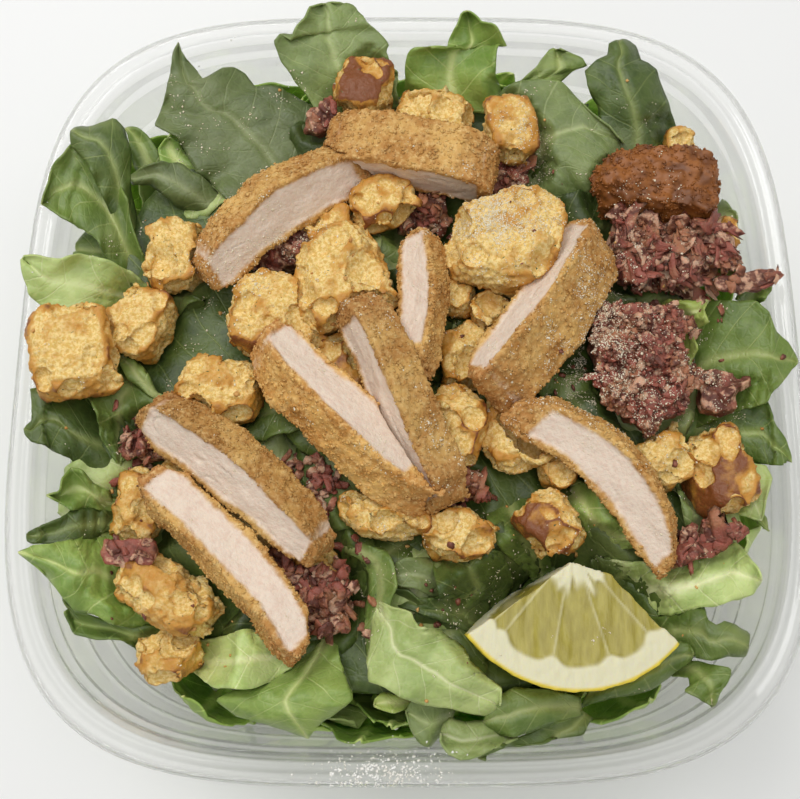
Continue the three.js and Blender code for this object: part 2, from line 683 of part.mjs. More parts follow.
/** The lemon wedge, its cut face at z = 0 and the lemon's centre at the origin. */
function lemonGeometry() {
  const steps = 8;
  const rings = [0, 0.3, 0.58, 0.82, 1];
  const [first, last] = [THREE.MathUtils.degToRad(LEMON.from), THREE.MathUtils.degToRad(LEMON.to)];
  const rounding = (share) => Math.sqrt(1 - (share * 0.86) ** 2);
  const outlineAt = (share) => {
    const size = rounding(share);
    const arc = Array.from({ length: steps + 1 }, (_, i) => {
      const angle = THREE.MathUtils.lerp(first, last, i / steps);
      return [Math.cos(angle) * LEMON.radius * size, Math.sin(angle) * LEMON.radius * size];
    });
    const [left, right] = LEMON.tip;
    return [...arc, right, left].map(([x, y]) => new THREE.Vector3(x, y, -LEMON.depth * share));
  };
  const sides = steps + 3;
  const points = rings.flatMap(outlineAt);
  const index = [];
  for (let ring = 0; ring + 1 < rings.length; ring += 1) {
    for (let i = 0; i < sides; i += 1) {
      const [a, b] = [ring * sides + i, ring * sides + ((i + 1) % sides)];
      index.push(a, b, b + sides, a, b + sides, a + sides);
    }
  }
  const face = THREE.ShapeUtils.triangulateShape(outlineAt(0).map((p) => new THREE.Vector2(p.x, p.y)), []);
  const end = (rings.length - 1) * sides;
  for (const [a, b, c] of face) {
    index.push(a, c, b, end + a, end + b, end + c);
  }
  const geometry = new THREE.BufferGeometry().setFromPoints(points);
  geometry.setIndex(index);
  return closed(geometry);
}

// ---------------------------------------------------------------- leaves

/** A point of a curve through three points, and its heading. */
function spineAt(spine, share) {
  const [a, b, c] = spine.map(([x, y, z]) => new THREE.Vector3(x, y, z ?? coreTop(x, y) - ROOT_DEPTH));
  const control = b.clone().multiplyScalar(2).addScaledVector(a, -0.5).addScaledVector(c, -0.5);
  const curve = new THREE.QuadraticBezierCurve3(a, control, c);
  return { point: curve.getPoint(share), heading: curve.getTangent(share) };
}

/** A leaf's middle surface at a share of its length and -1 (right edge) to 1 (left edge). */
function leafPoint(leaf, share, across) {
  const { point, heading } = spineAt(leaf.spine, share);
  const side = new THREE.Vector3().crossVectors(leaf.face ?? UP, heading).normalize();
  const normal = new THREE.Vector3().crossVectors(heading, side).normalize();
  const [shape, half] = across > 0 ? leaf.left : leaf.right;
  const [leftRise, rightRise] = leaf.rise ?? [0, 0];
  const [height, count] = leaf.ripple ?? [0.5, 2];
  const rise = (across > 0 ? leftRise : rightRise) * across * across;
  const wave = height * Math.abs(across) * Math.sin(2 * Math.PI * count * share + 1.7 * Math.sign(across));
  point.addScaledVector(side, across * half * along(SIDES[shape], share));
  return point.addScaledVector(normal, rise + wave);
}

/** Keeps a point of a leaf inside the bowl's wall, or above its rim. */
function clearOfBowl(point) {
  const overRim = BOWL.rimHeight + LEAF_CLEAR.rim;
  const reach = planRadius(point.x, point.y);
  const rimInside = BOWL.halfWidth - LEAF_CLEAR.rimInset;
  if (point.z > BOWL.rimHeight - 3 && reach > rimInside) {
    point.z = Math.max(point.z, overRim);
    return;
  }
  const limit = innerRadius(point.z) - LEAF_CLEAR.wall;
  if (reach > limit) {
    point.x *= limit / reach;
    point.y *= limit / reach;
  }
}

/** Keeps a point of a leaf under the toppings that lie on it, or over them. */
function clearOfToppings(point, toppings, over) {
  const cell = toppings.cell(point.x, point.y);
  const top = toppings.top[cell];
  const low = toppings.low[cell];
  if (low === Infinity) return;
  if (over) {
    point.z = Math.max(point.z, top + LEAF_CLEAR.above);
  } else {
    point.z = Math.min(point.z, low - LEAF_CLEAR.below);
  }
}

/** A leaf as a thin wavy solid. */
function leafGeometry(leaf, toppings) {
  const size = Math.max(leaf.left[1], leaf.right[1]) > LARGE_LEAF ? "large" : "small";
  const [long, wide] = leaf.cells ?? LEAF_CELLS[size];
  const middle = [];
  for (let i = 0; i <= long; i += 1) {
    for (let j = 0; j <= wide; j += 1) {
      const point = leafPoint(leaf, i / long, (j / wide) * 2 - 1);
      if (toppings) clearOfToppings(point, toppings, leaf.over);
      clearOfBowl(point);
      middle.push(point);
    }
  }
  const row = wide + 1;
  const at = (i, j) => middle[Math.min(Math.max(i, 0), long) * row + Math.min(Math.max(j, 0), wide)];
  const points = [];
  for (const offset of [LEAF_THICKNESS / 2, -LEAF_THICKNESS / 2]) {
    for (let i = 0; i <= long; i += 1) {
      for (let j = 0; j <= wide; j += 1) {
        const forward = new THREE.Vector3().subVectors(at(i + 1, j), at(i - 1, j));
        const sideways = new THREE.Vector3().subVectors(at(i, j + 1), at(i, j - 1));
        const normal = new THREE.Vector3().crossVectors(forward, sideways).normalize();
        points.push(at(i, j).clone().addScaledVector(normal, offset));
      }
    }
  }
  const geometry = new THREE.BufferGeometry().setFromPoints(points);
  geometry.setIndex(sheetIndex(long, wide));
  return closed(geometry);
}

/** Triangles of two alike sheets and the strip that joins their edges. */
function sheetIndex(long, wide) {
  const row = wide + 1;
  const sheet = (long + 1) * row;
  const index = [];
  for (let i = 0; i < long; i += 1) {
    for (let j = 0; j < wide; j += 1) {
      const [a, b] = [i * row + j, (i + 1) * row + j];
      index.push(a, b, b + 1, a, b + 1, a + 1);
      index.push(sheet + a, sheet + b + 1, sheet + b, sheet + a, sheet + a + 1, sheet + b + 1);
    }
  }
  const edge = [];
  for (let j = 0; j < wide; j += 1) edge.push(j);
  for (let i = 0; i < long; i += 1) edge.push(i * row + wide);
  for (let j = wide; j > 0; j -= 1) edge.push(long * row + j);
  for (let i = long; i > 0; i -= 1) edge.push(i * row);
  edge.forEach((a, i) => {
    const b = edge[(i + 1) % edge.length];
    index.push(a, b, sheet + b, a, sheet + b, sheet + a);
  });
  return index;
}

/** Leaves standing against the inside of the wall. */
function wallLeaves() {
  const random = seededRandom(7);
  const between = ([low, high]) => low + (high - low) * random();
  return Array.from({ length: WALL_LEAVES.count }, (_, i) => {
    const angle = ((i + 0.35 * random()) / WALL_LEAVES.count) * 2 * Math.PI;
    const face = new THREE.Vector3(Math.cos(angle), Math.sin(angle), 0);
    const corner = Math.abs(Math.sin(2 * angle)) ** 3;
    const spine = [WALL_LEAVES.low, WALL_LEAVES.middle, between(WALL_LEAVES.high)].map((z) => {
      const reach = (innerRadius(z) - WALL_LEAVES.inset - 7 * corner) / planRadius(face.x, face.y);
      return [face.x * reach, face.y * reach, z];
    });
    const half = between(WALL_LEAVES.halfWidth);
    const shapes = ["even", "torn", "paddle"];
    return {
      spine,
      face,
      left: [shapes[i % 3], half],
      right: [shapes[(i + 1) % 3], half],
      rise: [-3.5, -3.5],
      ripple: [1.3, 1.5],
      cells: LEAF_CELLS.wall,
    };
  });
}

// ---------------------------------------------------------------- assembly

/** A mesh with the looks of its kind. */
function namedMesh(name, kind, geometry) {
  const { colour, roughness } = LOOKS[kind];
  const material = new THREE.MeshStandardMaterial({ color: colour, roughness, metalness: 0 });
  const mesh = new THREE.Mesh(geometry, material);
  mesh.name = name;
  return mesh;
}

function boxOf(geometry) {
  return new THREE.Box3().setFromBufferAttribute(geometry.getAttribute("position"));
}

/** Lays toppings, the ones on top first, and cuts each by those already laid. */
class Platter {
  constructor(ground) {
    this.ground = new HeightMap();
    for (const geometry of ground) this.ground.add(geometry);
    this.toppings = new HeightMap();
    this.laid = [];
  }

  /** Adds one topping; it comes down onto the ground, unless it lies higher or is the sunk lemon. */
  lay(kind, name, geometry, place) {
    const mesh = namedMesh(name, kind, geometry);
    const { at: [x, y, z], roll = 0, pitch = 0, turn = 0 } = place;
    const radians = THREE.MathUtils.degToRad;
    mesh.rotation.set(radians(roll), radians(pitch), radians(turn), "ZYX");
    mesh.position.set(x, y, z ?? 0);
    mesh.updateMatrix();
    const lift = this.ground.liftOf(geometry.clone().applyMatrix4(mesh.matrix)) + REST_GAP;
    if (kind !== "lemon" && (z === undefined || lift > 0)) mesh.position.z += lift;
    mesh.updateMatrix();
    const world = this.cut(geometry.clone().applyMatrix4(mesh.matrix), SLIVER[kind]);
    mesh.geometry = world.clone().applyMatrix4(mesh.matrix.clone().invert());
    this.toppings.add(world);
    const box = boxOf(world).expandByScalar(TOPPING_GAP.growth);
    this.laid.push({ mesh, box, world, cutter: cutterOf(world, TOPPING_GAP) });
  }

  /** The mesh less the grown shapes of the toppings it touches. */
  cut(world, finest) {
    const near = this.laid.filter((other) => other.box.intersectsBox(boxOf(world)));
    if (near.length === 0) return world;
    return meshOf(near.reduce((whole, other) => whole.subtract(other.cutter), solidOf(world)), finest);
  }
}

/** The lettuce: core, wall leaves and the leaves on top, cut clear of the bowl and every topping. */
function lettuceMesh(core, bowl, platter) {
  const sheets = [
    ...wallLeaves().map((leaf) => leafGeometry(leaf)),
    ...LEAVES.map((leaf) => leafGeometry(leaf, platter.toppings)),
  ];
  const neighbours = [bowl, ...platter.laid.map(({ world }) => world)];
  const heap = fused([core, ...sheets]);
  const cutters = neighbours.map((neighbour) => cutterOf(neighbour, LETTUCE_GAP));
  const whole = cutters.reduce((solid, cutter) => solid.subtract(cutter), heap);
  return namedMesh("lettuce", "lettuce", meshOf(whole, SLIVER.lettuce));
}

function layToppings(platter) {
  platter.lay("lemon", "lemon_wedge", lemonGeometry(), LEMON);
  CHICKEN.forEach((slice, i) => platter.lay("chicken", slice.name, chickenGeometry(slice, 11 + i), slice));
  const tip = lumpGeometry(CHICKEN_TIP.size, [4, 3, 2], 0.14, 2, 77);
  platter.lay("chickenTip", CHICKEN_TIP.name, tip, CHICKEN_TIP);
  CROUTONS.forEach(([x, y, width, depth, height, turn, z], i) => {
    const cells = width * depth > 300 ? [3, 3, 2] : [2, 2, width * depth > 130 ? 2 : 1];
    const lump = lumpGeometry([width, depth, height], cells, 0.16, 3, 40 + i);
    platter.lay("crouton", `crouton_${String(i + 1).padStart(2, "0")}`, lump, { at: [x, y, z], turn });
  });
  BACON.forEach((cluster, i) => platter.lay("bacon", cluster.name, baconGeometry(cluster, 90 + i), cluster));
}

function salad() {
  const bowl = bowlGeometry();
  const core = coreGeometry();
  const platter = new Platter([bowl, core]);
  layToppings(platter);
  const whole = new THREE.Group();
  whole.add(namedMesh("bowl", "bowl", bowl));
  whole.add(lettuceMesh(core, bowl, platter));
  whole.add(...platter.laid.map(({ mesh }) => mesh));
  return whole;
}

export default salad();
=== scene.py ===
"""Looks of a chicken caesar salad in a clear plastic bowl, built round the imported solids.

Sizes are real millimetres and turn into metres where a mesh is written.
"""

import itertools
import logging
import math
from collections.abc import Iterator
from dataclasses import dataclass, field
from enum import Enum

import bmesh
import bpy
import numpy as np
from bpy.types import Material, Mesh, Node, NodeSocket, NodeTree, Object
from mathutils import Euler, Matrix, Vector


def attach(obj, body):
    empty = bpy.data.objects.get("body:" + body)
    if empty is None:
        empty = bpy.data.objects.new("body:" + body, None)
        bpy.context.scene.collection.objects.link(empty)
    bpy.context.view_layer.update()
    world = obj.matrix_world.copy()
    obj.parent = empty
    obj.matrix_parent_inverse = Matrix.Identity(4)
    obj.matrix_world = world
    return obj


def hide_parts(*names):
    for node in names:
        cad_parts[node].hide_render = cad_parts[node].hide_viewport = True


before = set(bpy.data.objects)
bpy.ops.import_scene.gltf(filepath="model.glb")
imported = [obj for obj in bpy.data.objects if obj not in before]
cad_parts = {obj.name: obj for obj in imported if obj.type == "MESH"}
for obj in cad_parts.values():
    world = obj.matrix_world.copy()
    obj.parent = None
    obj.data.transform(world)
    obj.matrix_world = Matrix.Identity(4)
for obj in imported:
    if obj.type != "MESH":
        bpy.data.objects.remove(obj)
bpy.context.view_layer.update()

logging.basicConfig(level=logging.INFO, format="%(message)s")
log = logging.getLogger("salad")

MM = 0.001
BODY = "root"
HASH_MASK = 0xFFFFFFFF
DROP_HEIGHT = 0.2
WELD = 1e-6

Colour = tuple[float, float, float, float]
Feed = float | Colour | NodeSocket


# ---- numbers


def srgb(red: float, green: float, blue: float) -> Colour:
    """The linear colour of screen values between 0 and 255."""
    linear = [((v / 255 + 0.055) / 1.055) ** 2.4 if v > 10.3 else v / 255 / 12.92 for v in (red, green, blue)]
    return (*linear, 1.0)


def lattice_value(i: np.ndarray, j: np.ndarray, k: np.ndarray, seed: int) -> np.ndarray:
    """The random value of whole-number points.

    Args:
        i: first coordinates.
        j: second coordinates.
        k: third coordinates.
        seed: which of the random fields.

    Returns:
        Values between -1 and 1.
    """
    mixed = (i * 374761393 + j * 668265263 + k * 2147483647 + seed * 144665) & HASH_MASK
    mixed = ((mixed ^ (mixed >> 13)) * 1274126177) & HASH_MASK
    return (mixed ^ (mixed >> 16)) / 2**31 - 1


def noise(points: np.ndarray, seed: int) -> np.ndarray:
    """Smooth noise with one cell per unit.

    Args:
        points: n by 3 places.
        seed: which of the random fields.

    Returns:
        n values between -1 and 1.
    """
    cell = np.floor(points).astype(np.int64)
    part = points - cell
    ease = part * part * (3 - 2 * part)
    total = np.zeros(len(points))
    for corner in itertools.product((0, 1), repeat=3):
        weight = np.prod(np.where(corner, ease, 1 - ease), axis=1)
        total += weight * lattice_value(*(cell + corner).T, seed)
    return total


def grains(points: np.ndarray, seed: int) -> np.ndarray:
    """Distance to the nearest of one random point in each unit cell.

    Args:
        points: n by 3 places.
        seed: which of the random fields.

    Returns:
        n distances, 0 in the middle of a grain.
    """
    cell = np.floor(points).astype(np.int64)
    nearest = np.full(len(points), 9.0)
    for step in itertools.product((-1, 0, 1), repeat=3):
        other = cell + step
        shift = np.stack([lattice_value(*other.T, seed + axis) for axis in range(3)], axis=1)
        nearest = np.minimum(nearest, np.linalg.norm(points - other - 0.5 - 0.45 * shift, axis=1))
    return nearest


def smoothstep(low: float, high: float, value: np.ndarray) -> np.ndarray:
    """0 below low, 1 above high and an eased change between."""
    share = np.clip((value - low) / (high - low), 0, 1)
    return share * share * (3 - 2 * share)


def along(stations: tuple[float, ...], share: np.ndarray) -> np.ndarray:
    """A smooth curve through evenly spaced stations.

    Args:
        stations: values at equal steps.
        share: places between 0 and 1.

    Returns:
        The curve's value at each place.
    """
    padded = np.array([2 * stations[0] - stations[1], *stations, 2 * stations[-1] - stations[-2]])
    place = np.clip(share, 0, 1) * (len(stations) - 1)
    index = np.minimum(place.astype(int), len(stations) - 2)
    t = place - index
    a, b, c, d = (padded[index + step] for step in range(4))
    curve = b + 0.5 * t * (c - a + t * (2 * a - 5 * b + 4 * c - d + t * (3 * (b - c) + d - a)))
    return np.maximum(curve, 0.0)


@dataclass(frozen=True)
class Trace:
    """A line through points, measured along its length."""

    points: np.ndarray
    run: np.ndarray

    @property
    def length(self) -> float:
        """The whole length."""
        return float(self.run[-1])

    def at(self, share: np.ndarray) -> np.ndarray:
        """The places at shares of the length."""
        return np.stack([np.interp(share * self.run[-1], self.run, part) for part in self.points.T], axis=1)


def traced(numbers: tuple[float, ...]) -> Trace:
    """The line through points, given as two numbers each."""
    line = np.array(numbers, float).reshape(-1, 2)
    return Trace(line, np.concatenate([[0], np.cumsum(np.linalg.norm(np.diff(line, axis=0), axis=1))]))


def unit(vectors: np.ndarray) -> np.ndarray:
    """The vectors, each made 1 long."""
    return vectors / np.linalg.norm(vectors, axis=1)[:, None]


def curved(ends: np.ndarray, share: np.ndarray) -> np.ndarray:
    """A bow through a start, a middle and an end.

    Args:
        ends: the three places, one a row.
        share: n by 1 places along the bow, 0 to 1.

    Returns:
        The n places.
    """
    start, middle, end = ends
    control = 2 * middle - start / 2 - end / 2
    return (1 - share) ** 2 * start + 2 * share * (1 - share) * control + share**2 * end


# ---- meshes


def vectors_of(mesh: Mesh, name: str) -> np.ndarray:
    """A vector of every point of a mesh.

    Args:
        mesh: the mesh.
        name: which of a point's vectors.

    Returns:
        n by 3 values.
    """
    flat = np.empty(len(mesh.vertices) * 3)
    mesh.vertices.foreach_get(name, flat)
    return flat.reshape(-1, 3)


def points_of(mesh: Mesh) -> np.ndarray:
    """The mesh's points in millimetres."""
    return vectors_of(mesh, "co") / MM


def normals_of(mesh: Mesh) -> np.ndarray:
    """The mesh's point normals."""
    return vectors_of(mesh, "normal")


def move_points(mesh: Mesh, points: np.ndarray) -> None:
    """Puts the mesh's points at places in millimetres."""
    mesh.vertices.foreach_set("co", (points * MM).astype(np.float32).ravel())
    mesh.update()


def add_value(mesh: Mesh, name: str, values: np.ndarray) -> None:
    """Stores one number per point for the finish."""
    mesh.attributes.new(name, "FLOAT", "POINT").data.foreach_set("value", values.astype(np.float32))


def add_vector(mesh: Mesh, name: str, vectors: np.ndarray) -> None:
    """Stores one vector per point for the finish."""
    layer = mesh.attributes.new(name, "FLOAT_VECTOR", "POINT")
    layer.data.foreach_set("vector", vectors.astype(np.float32).ravel())


def placed(name: str, data: bpy.types.ID) -> Object:
    """Makes an object of a mesh, lamp or camera and puts it in the scene.

    Args:
        name: the object's name.
        data: the mesh, lamp or camera.

    Returns:
        The object.
    """
    thing = bpy.data.objects.new(name, data)
    bpy.context.scene.collection.objects.link(thing)
    return thing


def piece(name: str, mesh: Mesh, material: Material, slot: str) -> Object:
    """Shows a finished mesh as a piece of the salad.

    Args:
        name: the piece's name.
        mesh: its mesh, in place.
        material: its finish.
        slot: the record's material slot; not used.

    Returns:
        The object, riding on the body.
    """
    for polygon in mesh.polygons:
        polygon.use_smooth = True
    mesh.name = name
    mesh.materials.clear()
    mesh.materials.append(material)
    thing = placed(name, mesh)
    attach(thing, BODY)
    log.info("%s: %d points", name, len(mesh.vertices))
    return thing


def fine_copy(node: str, cell: float, passes: int) -> Mesh:
    """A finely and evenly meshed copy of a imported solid, its facets softened.

    Args:
        node: the solid's name.
        cell: size of the mesh's cells, in millimetres.
        passes: how often the copy is smoothed.

    Returns:
        The copy's mesh.
    """
    shape = bmesh.new()
    shape.from_mesh(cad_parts[node].data)
    bmesh.ops.remove_doubles(shape, verts=shape.verts, dist=WELD)
    bmesh.ops.recalc_face_normals(shape, faces=shape.faces)
    copy = finished(shape, node + "_copy")
    helper = placed(node + "_helper", copy)
    remesh = helper.modifiers.new("even", "REMESH")
    remesh.mode = "VOXEL"
    remesh.voxel_size = cell * MM
    smooth = helper.modifiers.new("soft", "SMOOTH")
    smooth.factor = 0.5
    smooth.iterations = passes
    bpy.context.view_layer.update()
    evaluated = helper.evaluated_get(bpy.context.evaluated_depsgraph_get())
    mesh = bpy.data.meshes.new_from_object(evaluated)
    bpy.data.objects.remove(helper)
    bpy.data.meshes.remove(copy)
    mesh.materials.clear()
    return mesh


def averaged(mesh: Mesh, values: np.ndarray, passes: int) -> np.ndarray:
    """Values of the mesh's points, averaged with their neighbours again and again.

    Args:
        mesh: the mesh.
        values: n by k values.
        passes: how often.

    Returns:
        The averaged values.
    """
    ends = np.empty(len(mesh.edges) * 2, np.int64)
    mesh.edges.foreach_get("vertices", ends)
    a, b = ends.reshape(-1, 2).T
    count = np.maximum(np.bincount(ends, minlength=len(values)), 1)
    for _ in range(passes):
        sums = [
            np.bincount(a, part[b], len(values)) + np.bincount(b, part[a], len(values)) for part in values.T
        ]
        values = np.stack(sums, axis=1) / count[:, None]
    return values


def grain_mesh(
    places: np.ndarray, normals: np.ndarray, size: tuple[float, float], flatness: float, random: np.random.Generator
) -> Mesh:
    """A joined mesh of small uneven grains.

    Args:
        places: n by 3 places in millimetres.
        normals: the way that each grain's flat side faces.
        size: least and greatest width.
        flatness: thickness for a width of 1.
        random: the source of chance.

    Returns:
        The mesh, one grain after another.
    """
    template = bmesh.new()
    bmesh.ops.create_icosphere(template, subdivisions=1, radius=1.0)
    corners = np.array([v.co for v in template.verts])
    faces = np.array([[v.index for v in f.verts] for f in template.faces])
    template.free()
    count = len(places)
    wide = random.uniform(*size, (count, 1, 1)) * random.uniform(0.6, 1, (count, 1, 1))
    shape = corners * random.uniform(0.45, 1.5, (count, 1, 3)) * np.array([1, 1, flatness])
    shape = shape * (1 + random.uniform(-0.45, 0.45, (count, len(corners), 1))) * wide / 2
    other = unit(np.cross(normals, random.normal(size=(count, 3))))
    third = np.cross(normals, other)
    shape = shape[:, :, :1] * other[:, None] + shape[:, :, 1:2] * third[:, None] + shape[:, :, 2:] * normals[:, None]
    shape = shape + (places + normals * wide[:, 0] * 0.15)[:, None]
    index = faces[None] + (np.arange(count) * len(corners))[:, None, None]
    mesh = bpy.data.meshes.new("grains")
    mesh.from_pydata(shape.reshape(-1, 3) * MM, [], index.reshape(-1, 3))
    mesh.update()
    return mesh


def finished(shape: bmesh.types.BMesh, name: str) -> Mesh:
    """Turns a shape into a mesh.

    Args:
        shape: the shape, which is freed.
        name: the mesh's name.

    Returns:
        The new mesh.
    """
    mesh = bpy.data.meshes.new(name)
    shape.to_mesh(mesh)
    shape.free()
    return mesh


def with_mesh(mesh: Mesh, added: Mesh) -> None:
    """Joins a mesh to another, its points after the other's.

    Args:
        mesh: the mesh that grows.
        added: the mesh that is used up.
    """
    shape = bmesh.new()
    shape.from_mesh(mesh)
    shape.from_mesh(added)
    shape.to_mesh(mesh)
    shape.free()
    bpy.data.meshes.remove(added)


def dropped(spots: np.ndarray, avoid: tuple[str, ...]) -> Iterator[tuple[np.ndarray, np.ndarray]]:
    """Lets spots fall straight down on what is built so far.

    Args:
        spots: n by 2 places in millimetres.
        avoid: how the names of things start on which nothing stays.

    Yields:
        The place in millimetres and the normal where each spot that stays has landed.
    """
    graph = bpy.context.evaluated_depsgraph_get()
    for spot in spots:
        start = Vector((spot[0] * MM, spot[1] * MM, DROP_HEIGHT))
        hit, place, normal, _, thing, _ = bpy.context.scene.ray_cast(graph, start, Vector((0, 0, -1)))
        if hit and not thing.name.startswith(avoid):
            yield np.array(place) / MM, np.array(normal)


# ---- finishes


@dataclass
class Graph:
    """Adds and joins nodes of one shader tree, round its surface shader where it has one."""

    tree: NodeTree
    shader: Node | None = None

    def add(self, kind: str, inputs: dict | None = None, **settings) -> Node:
        """Adds a node.

        Args:
            kind: the node's type, without the words ShaderNode.
            inputs: values or sockets for its inputs, by name or number.
            settings: properties of the node.

        Returns:
            The node.
        """
        node = self.tree.nodes.new("ShaderNode" + kind)
        for key, value in settings.items():
            setattr(node, key, value)
        for key, value in (inputs or {}).items():
            if isinstance(value, NodeSocket):
                self.tree.links.new(value, node.inputs[key])
            else:
                node.inputs[key].default_value = value
        return node

    def math(self, operation: str, a: Feed, b: Feed = 0.0) -> NodeSocket:
        """The result of a sum on two values or sockets."""
        return self.add("Math", {0: a, 1: b}, operation=operation).outputs[0]

    def times(self, a: Feed, b: Feed) -> NodeSocket:
        """Two values or sockets multiplied."""
        return self.math("MULTIPLY", a, b)

    def ramp(
        self, value: Feed, low: float, high: float, start: float = 0.0, end: float = 1.0
    ) -> NodeSocket:
        """An eased change from start to end while a value goes from low to high."""
        inputs = {"Value": value, "From Min": low, "From Max": high, "To Min": start, "To Max": end}
        return self.add("MapRange", inputs, interpolation_type="SMOOTHSTEP").outputs["Result"]

    def mix(self, factor: Feed, a: Feed, b: Feed) -> NodeSocket:
        """A blend of two colours.

        Args:
            factor: how much of the second, 0 to 1.
            a: the first colour.
            b: the second colour.

        Returns:
            The blend.
        """
        node = self.add("Mix", {"Factor": factor}, data_type="RGBA")
        for socket, value in ((node.inputs[6], a), (node.inputs[7], b)):
            if isinstance(value, NodeSocket):
                self.tree.links.new(value, socket)
            else:
                socket.default_value = value
        return node.outputs[2]

    def noise(
        self, vector: Feed, scale: float, detail: float = 3.0, roughness: float = 0.55
    ) -> NodeSocket:
        """Cloudy noise between 0 and 1."""
        inputs = {"Vector": vector, "Scale": scale, "Detail": detail, "Roughness": roughness}
        return self.add("TexNoise", inputs).outputs["Fac"]

    def attribute(self, name: str, kind: str = "Fac") -> NodeSocket:
        """A number or vector stored on the mesh's points."""
        return self.add("Attribute", attribute_name=name).outputs[kind]

    def place(self) -> NodeSocket:
        """The place on the object, in metres."""
        return self.add("TexCoord").outputs["Object"]

    def bump(self, height: Feed, distance: float, strength: float) -> None:
        """Roughens the surface by a height in the given distance."""
        node = self.add("Bump", {"Height": height, "Strength": strength, "Distance": distance})
        self.join(Normal=node.outputs[0])

    def join(self, **sockets: NodeSocket) -> None:
        """Feeds sockets into the shader's inputs; an underscore stands for a space."""
        for key, socket in sockets.items():
            self.tree.links.new(socket, self.shader.inputs[key.replace("_", " ")])

    def fix(self, **values: float | tuple[float, ...]) -> None:
        """Sets numbers and colours of the shader's own inputs; an underscore stands for a space."""
        for key, value in values.items():
            self.shader.inputs[key.replace("_", " ")].default_value = value


def vein_group() -> NodeTree:
    """The pattern of veins on a leaf.

    Returns:
        A node group that turns a leaf's own coordinates into masks of its side veins and of the
        net between them.
    """
    tree = bpy.data.node_groups.new("leaf_veins", "ShaderNodeTree")
    tree.interface.new_socket("Leaf", in_out="INPUT", socket_type="NodeSocketVector")
    for name in ("Side", "Net"):
        tree.interface.new_socket(name, in_out="OUTPUT", socket_type="NodeSocketFloat")
    graph = Graph(tree)
    start = tree.nodes.new("NodeGroupInput").outputs[0]
    end = tree.nodes.new("NodeGroupOutput")
    parts = graph.add("SeparateXYZ", {0: start}).outputs
    phase = graph.math("ABSOLUTE", graph.math("SUBTRACT", graph.math("FRACT", parts[2]), 0.5))
    side = graph.ramp(phase, 0.006, 0.045, 1.0, 0.0)
    flat = graph.add("CombineXYZ", {0: parts[0], 1: parts[1]}).outputs[0]
    bend = graph.add("TexNoise", {"Vector": flat, "Scale": 0.5}).outputs["Color"]
    bent = graph.add("VectorMath", {0: flat, 1: bend}, operation="ADD").outputs[0]
    net = graph.add("TexVoronoi", {"Vector": bent, "Scale": 0.42}, feature="DISTANCE_TO_EDGE").outputs["Distance"]
    tree.links.new(side, end.inputs["Side"])
    tree.links.new(graph.ramp(net, 0.01, 0.16, 1.0, 0.0), end.inputs["Net"])
    return tree


class Finish:
    """A finish, made once."""

    name: str

    def material(self) -> Material:
        """The finish's material.

        Returns:
            The material, made when it is first asked for.
        """
        made = bpy.data.materials.get("fine_" + self.name)
        if made is None:
            made = bpy.data.materials.new("fine_" + self.name)
            made.use_nodes = True
            self.dress(Graph(made.node_tree, made.node_tree.nodes["Principled BSDF"]))
        return made

    def dress(self, graph: Graph) -> None:
        """Sets up the shader; here it is left to each kind of finish."""
        raise NotImplementedError


@dataclass(frozen=True)
class ClearPlastic(Finish):
    """Thin clear plastic."""

    name: str = "clear_plastic"
    tint: Colour = srgb(251, 251, 250)
    shade: Colour = srgb(246, 246, 245)
    straight: float = 0.3

    def dress(self, graph: Graph) -> None:
        """Sets up the shader; light falls through it with little shade.

        Args:
            graph: the material's nodes.
        """
        graph.fix(Base_Color=self.tint, Transmission_Weight=1.0, Roughness=0.04, IOR=1.42)
        clear = graph.add("BsdfTransparent", {"Color": self.shade})
        path = graph.add("LightPath")
        passing = graph.math("MAXIMUM", path.outputs["Is Shadow Ray"], path.outputs["Is Diffuse Ray"])
        passing = graph.math("MAXIMUM", passing, self.straight)
        blend = graph.add("MixShader", {0: passing})
        graph.tree.links.new(graph.shader.outputs[0], blend.inputs[1])
        graph.tree.links.new(clear.outputs[0], blend.inputs[2])
        graph.tree.links.new(blend.outputs[0], graph.tree.nodes["Material Output"].inputs[0])


@dataclass(frozen=True)
class LeafFinish(Finish):
    """A lettuce leaf."""

    name: str
    blade: Colour
    dark: Colour
    vein: Colour
    roughness: float = 0.46

    def dress(self, graph: Graph) -> None:
        """Sets up the shader.

        Args:
            graph: the material's nodes.
        """
        group = graph.add("Group", node_tree=bpy.data.node_groups.get("leaf_veins") or vein_group())
        graph.tree.links.new(graph.attribute("leaf_place", "Vector"), group.inputs[0])
        place = graph.place()
        cloud = graph.noise(place, 75.0, 6.0, 0.62)
        blade = graph.mix(graph.ramp(cloud, 0.38, 0.62), self.blade, self.dark)
        patch = graph.noise(place, 38.0, 3.0)
        blade = graph.mix(graph.ramp(patch, 0.52, 0.72, 0.0, 0.55), blade, self.vein)
        rib = graph.attribute("rib")
        netted = graph.mix(graph.times(group.outputs["Net"], 0.08), blade, self.vein)
        faint = graph.times(graph.noise(place, 160.0, 2.0), 0.8)
        sided = graph.mix(graph.times(group.outputs["Side"], faint), netted, self.vein)
        # The colour is scaled by each leaf's light factor: partly its own tone, partly painted light and shade.
        shown = graph.add("VectorMath", {0: graph.mix(rib, sided, self.vein)}, operation="SCALE")
        graph.tree.links.new(graph.attribute("light"), shown.inputs["Scale"])
        graph.join(Base_Color=shown.outputs[0])
        graph.fix(
            Roughness=self.roughness, Subsurface_Weight=0.2, Subsurface_Radius=(0.6, 1.0, 0.3),
            Subsurface_Scale=0.0015
        )
        grain = graph.noise(place, 1100.0, 3.0)
        net = graph.times(group.outputs["Net"], 0.3)
        height = graph.math("SUBTRACT", graph.times(grain, 0.7), net)
        veined = graph.times(group.outputs["Side"], 0.5)
        graph.bump(graph.math("SUBTRACT", height, veined), 0.0003, 0.5)


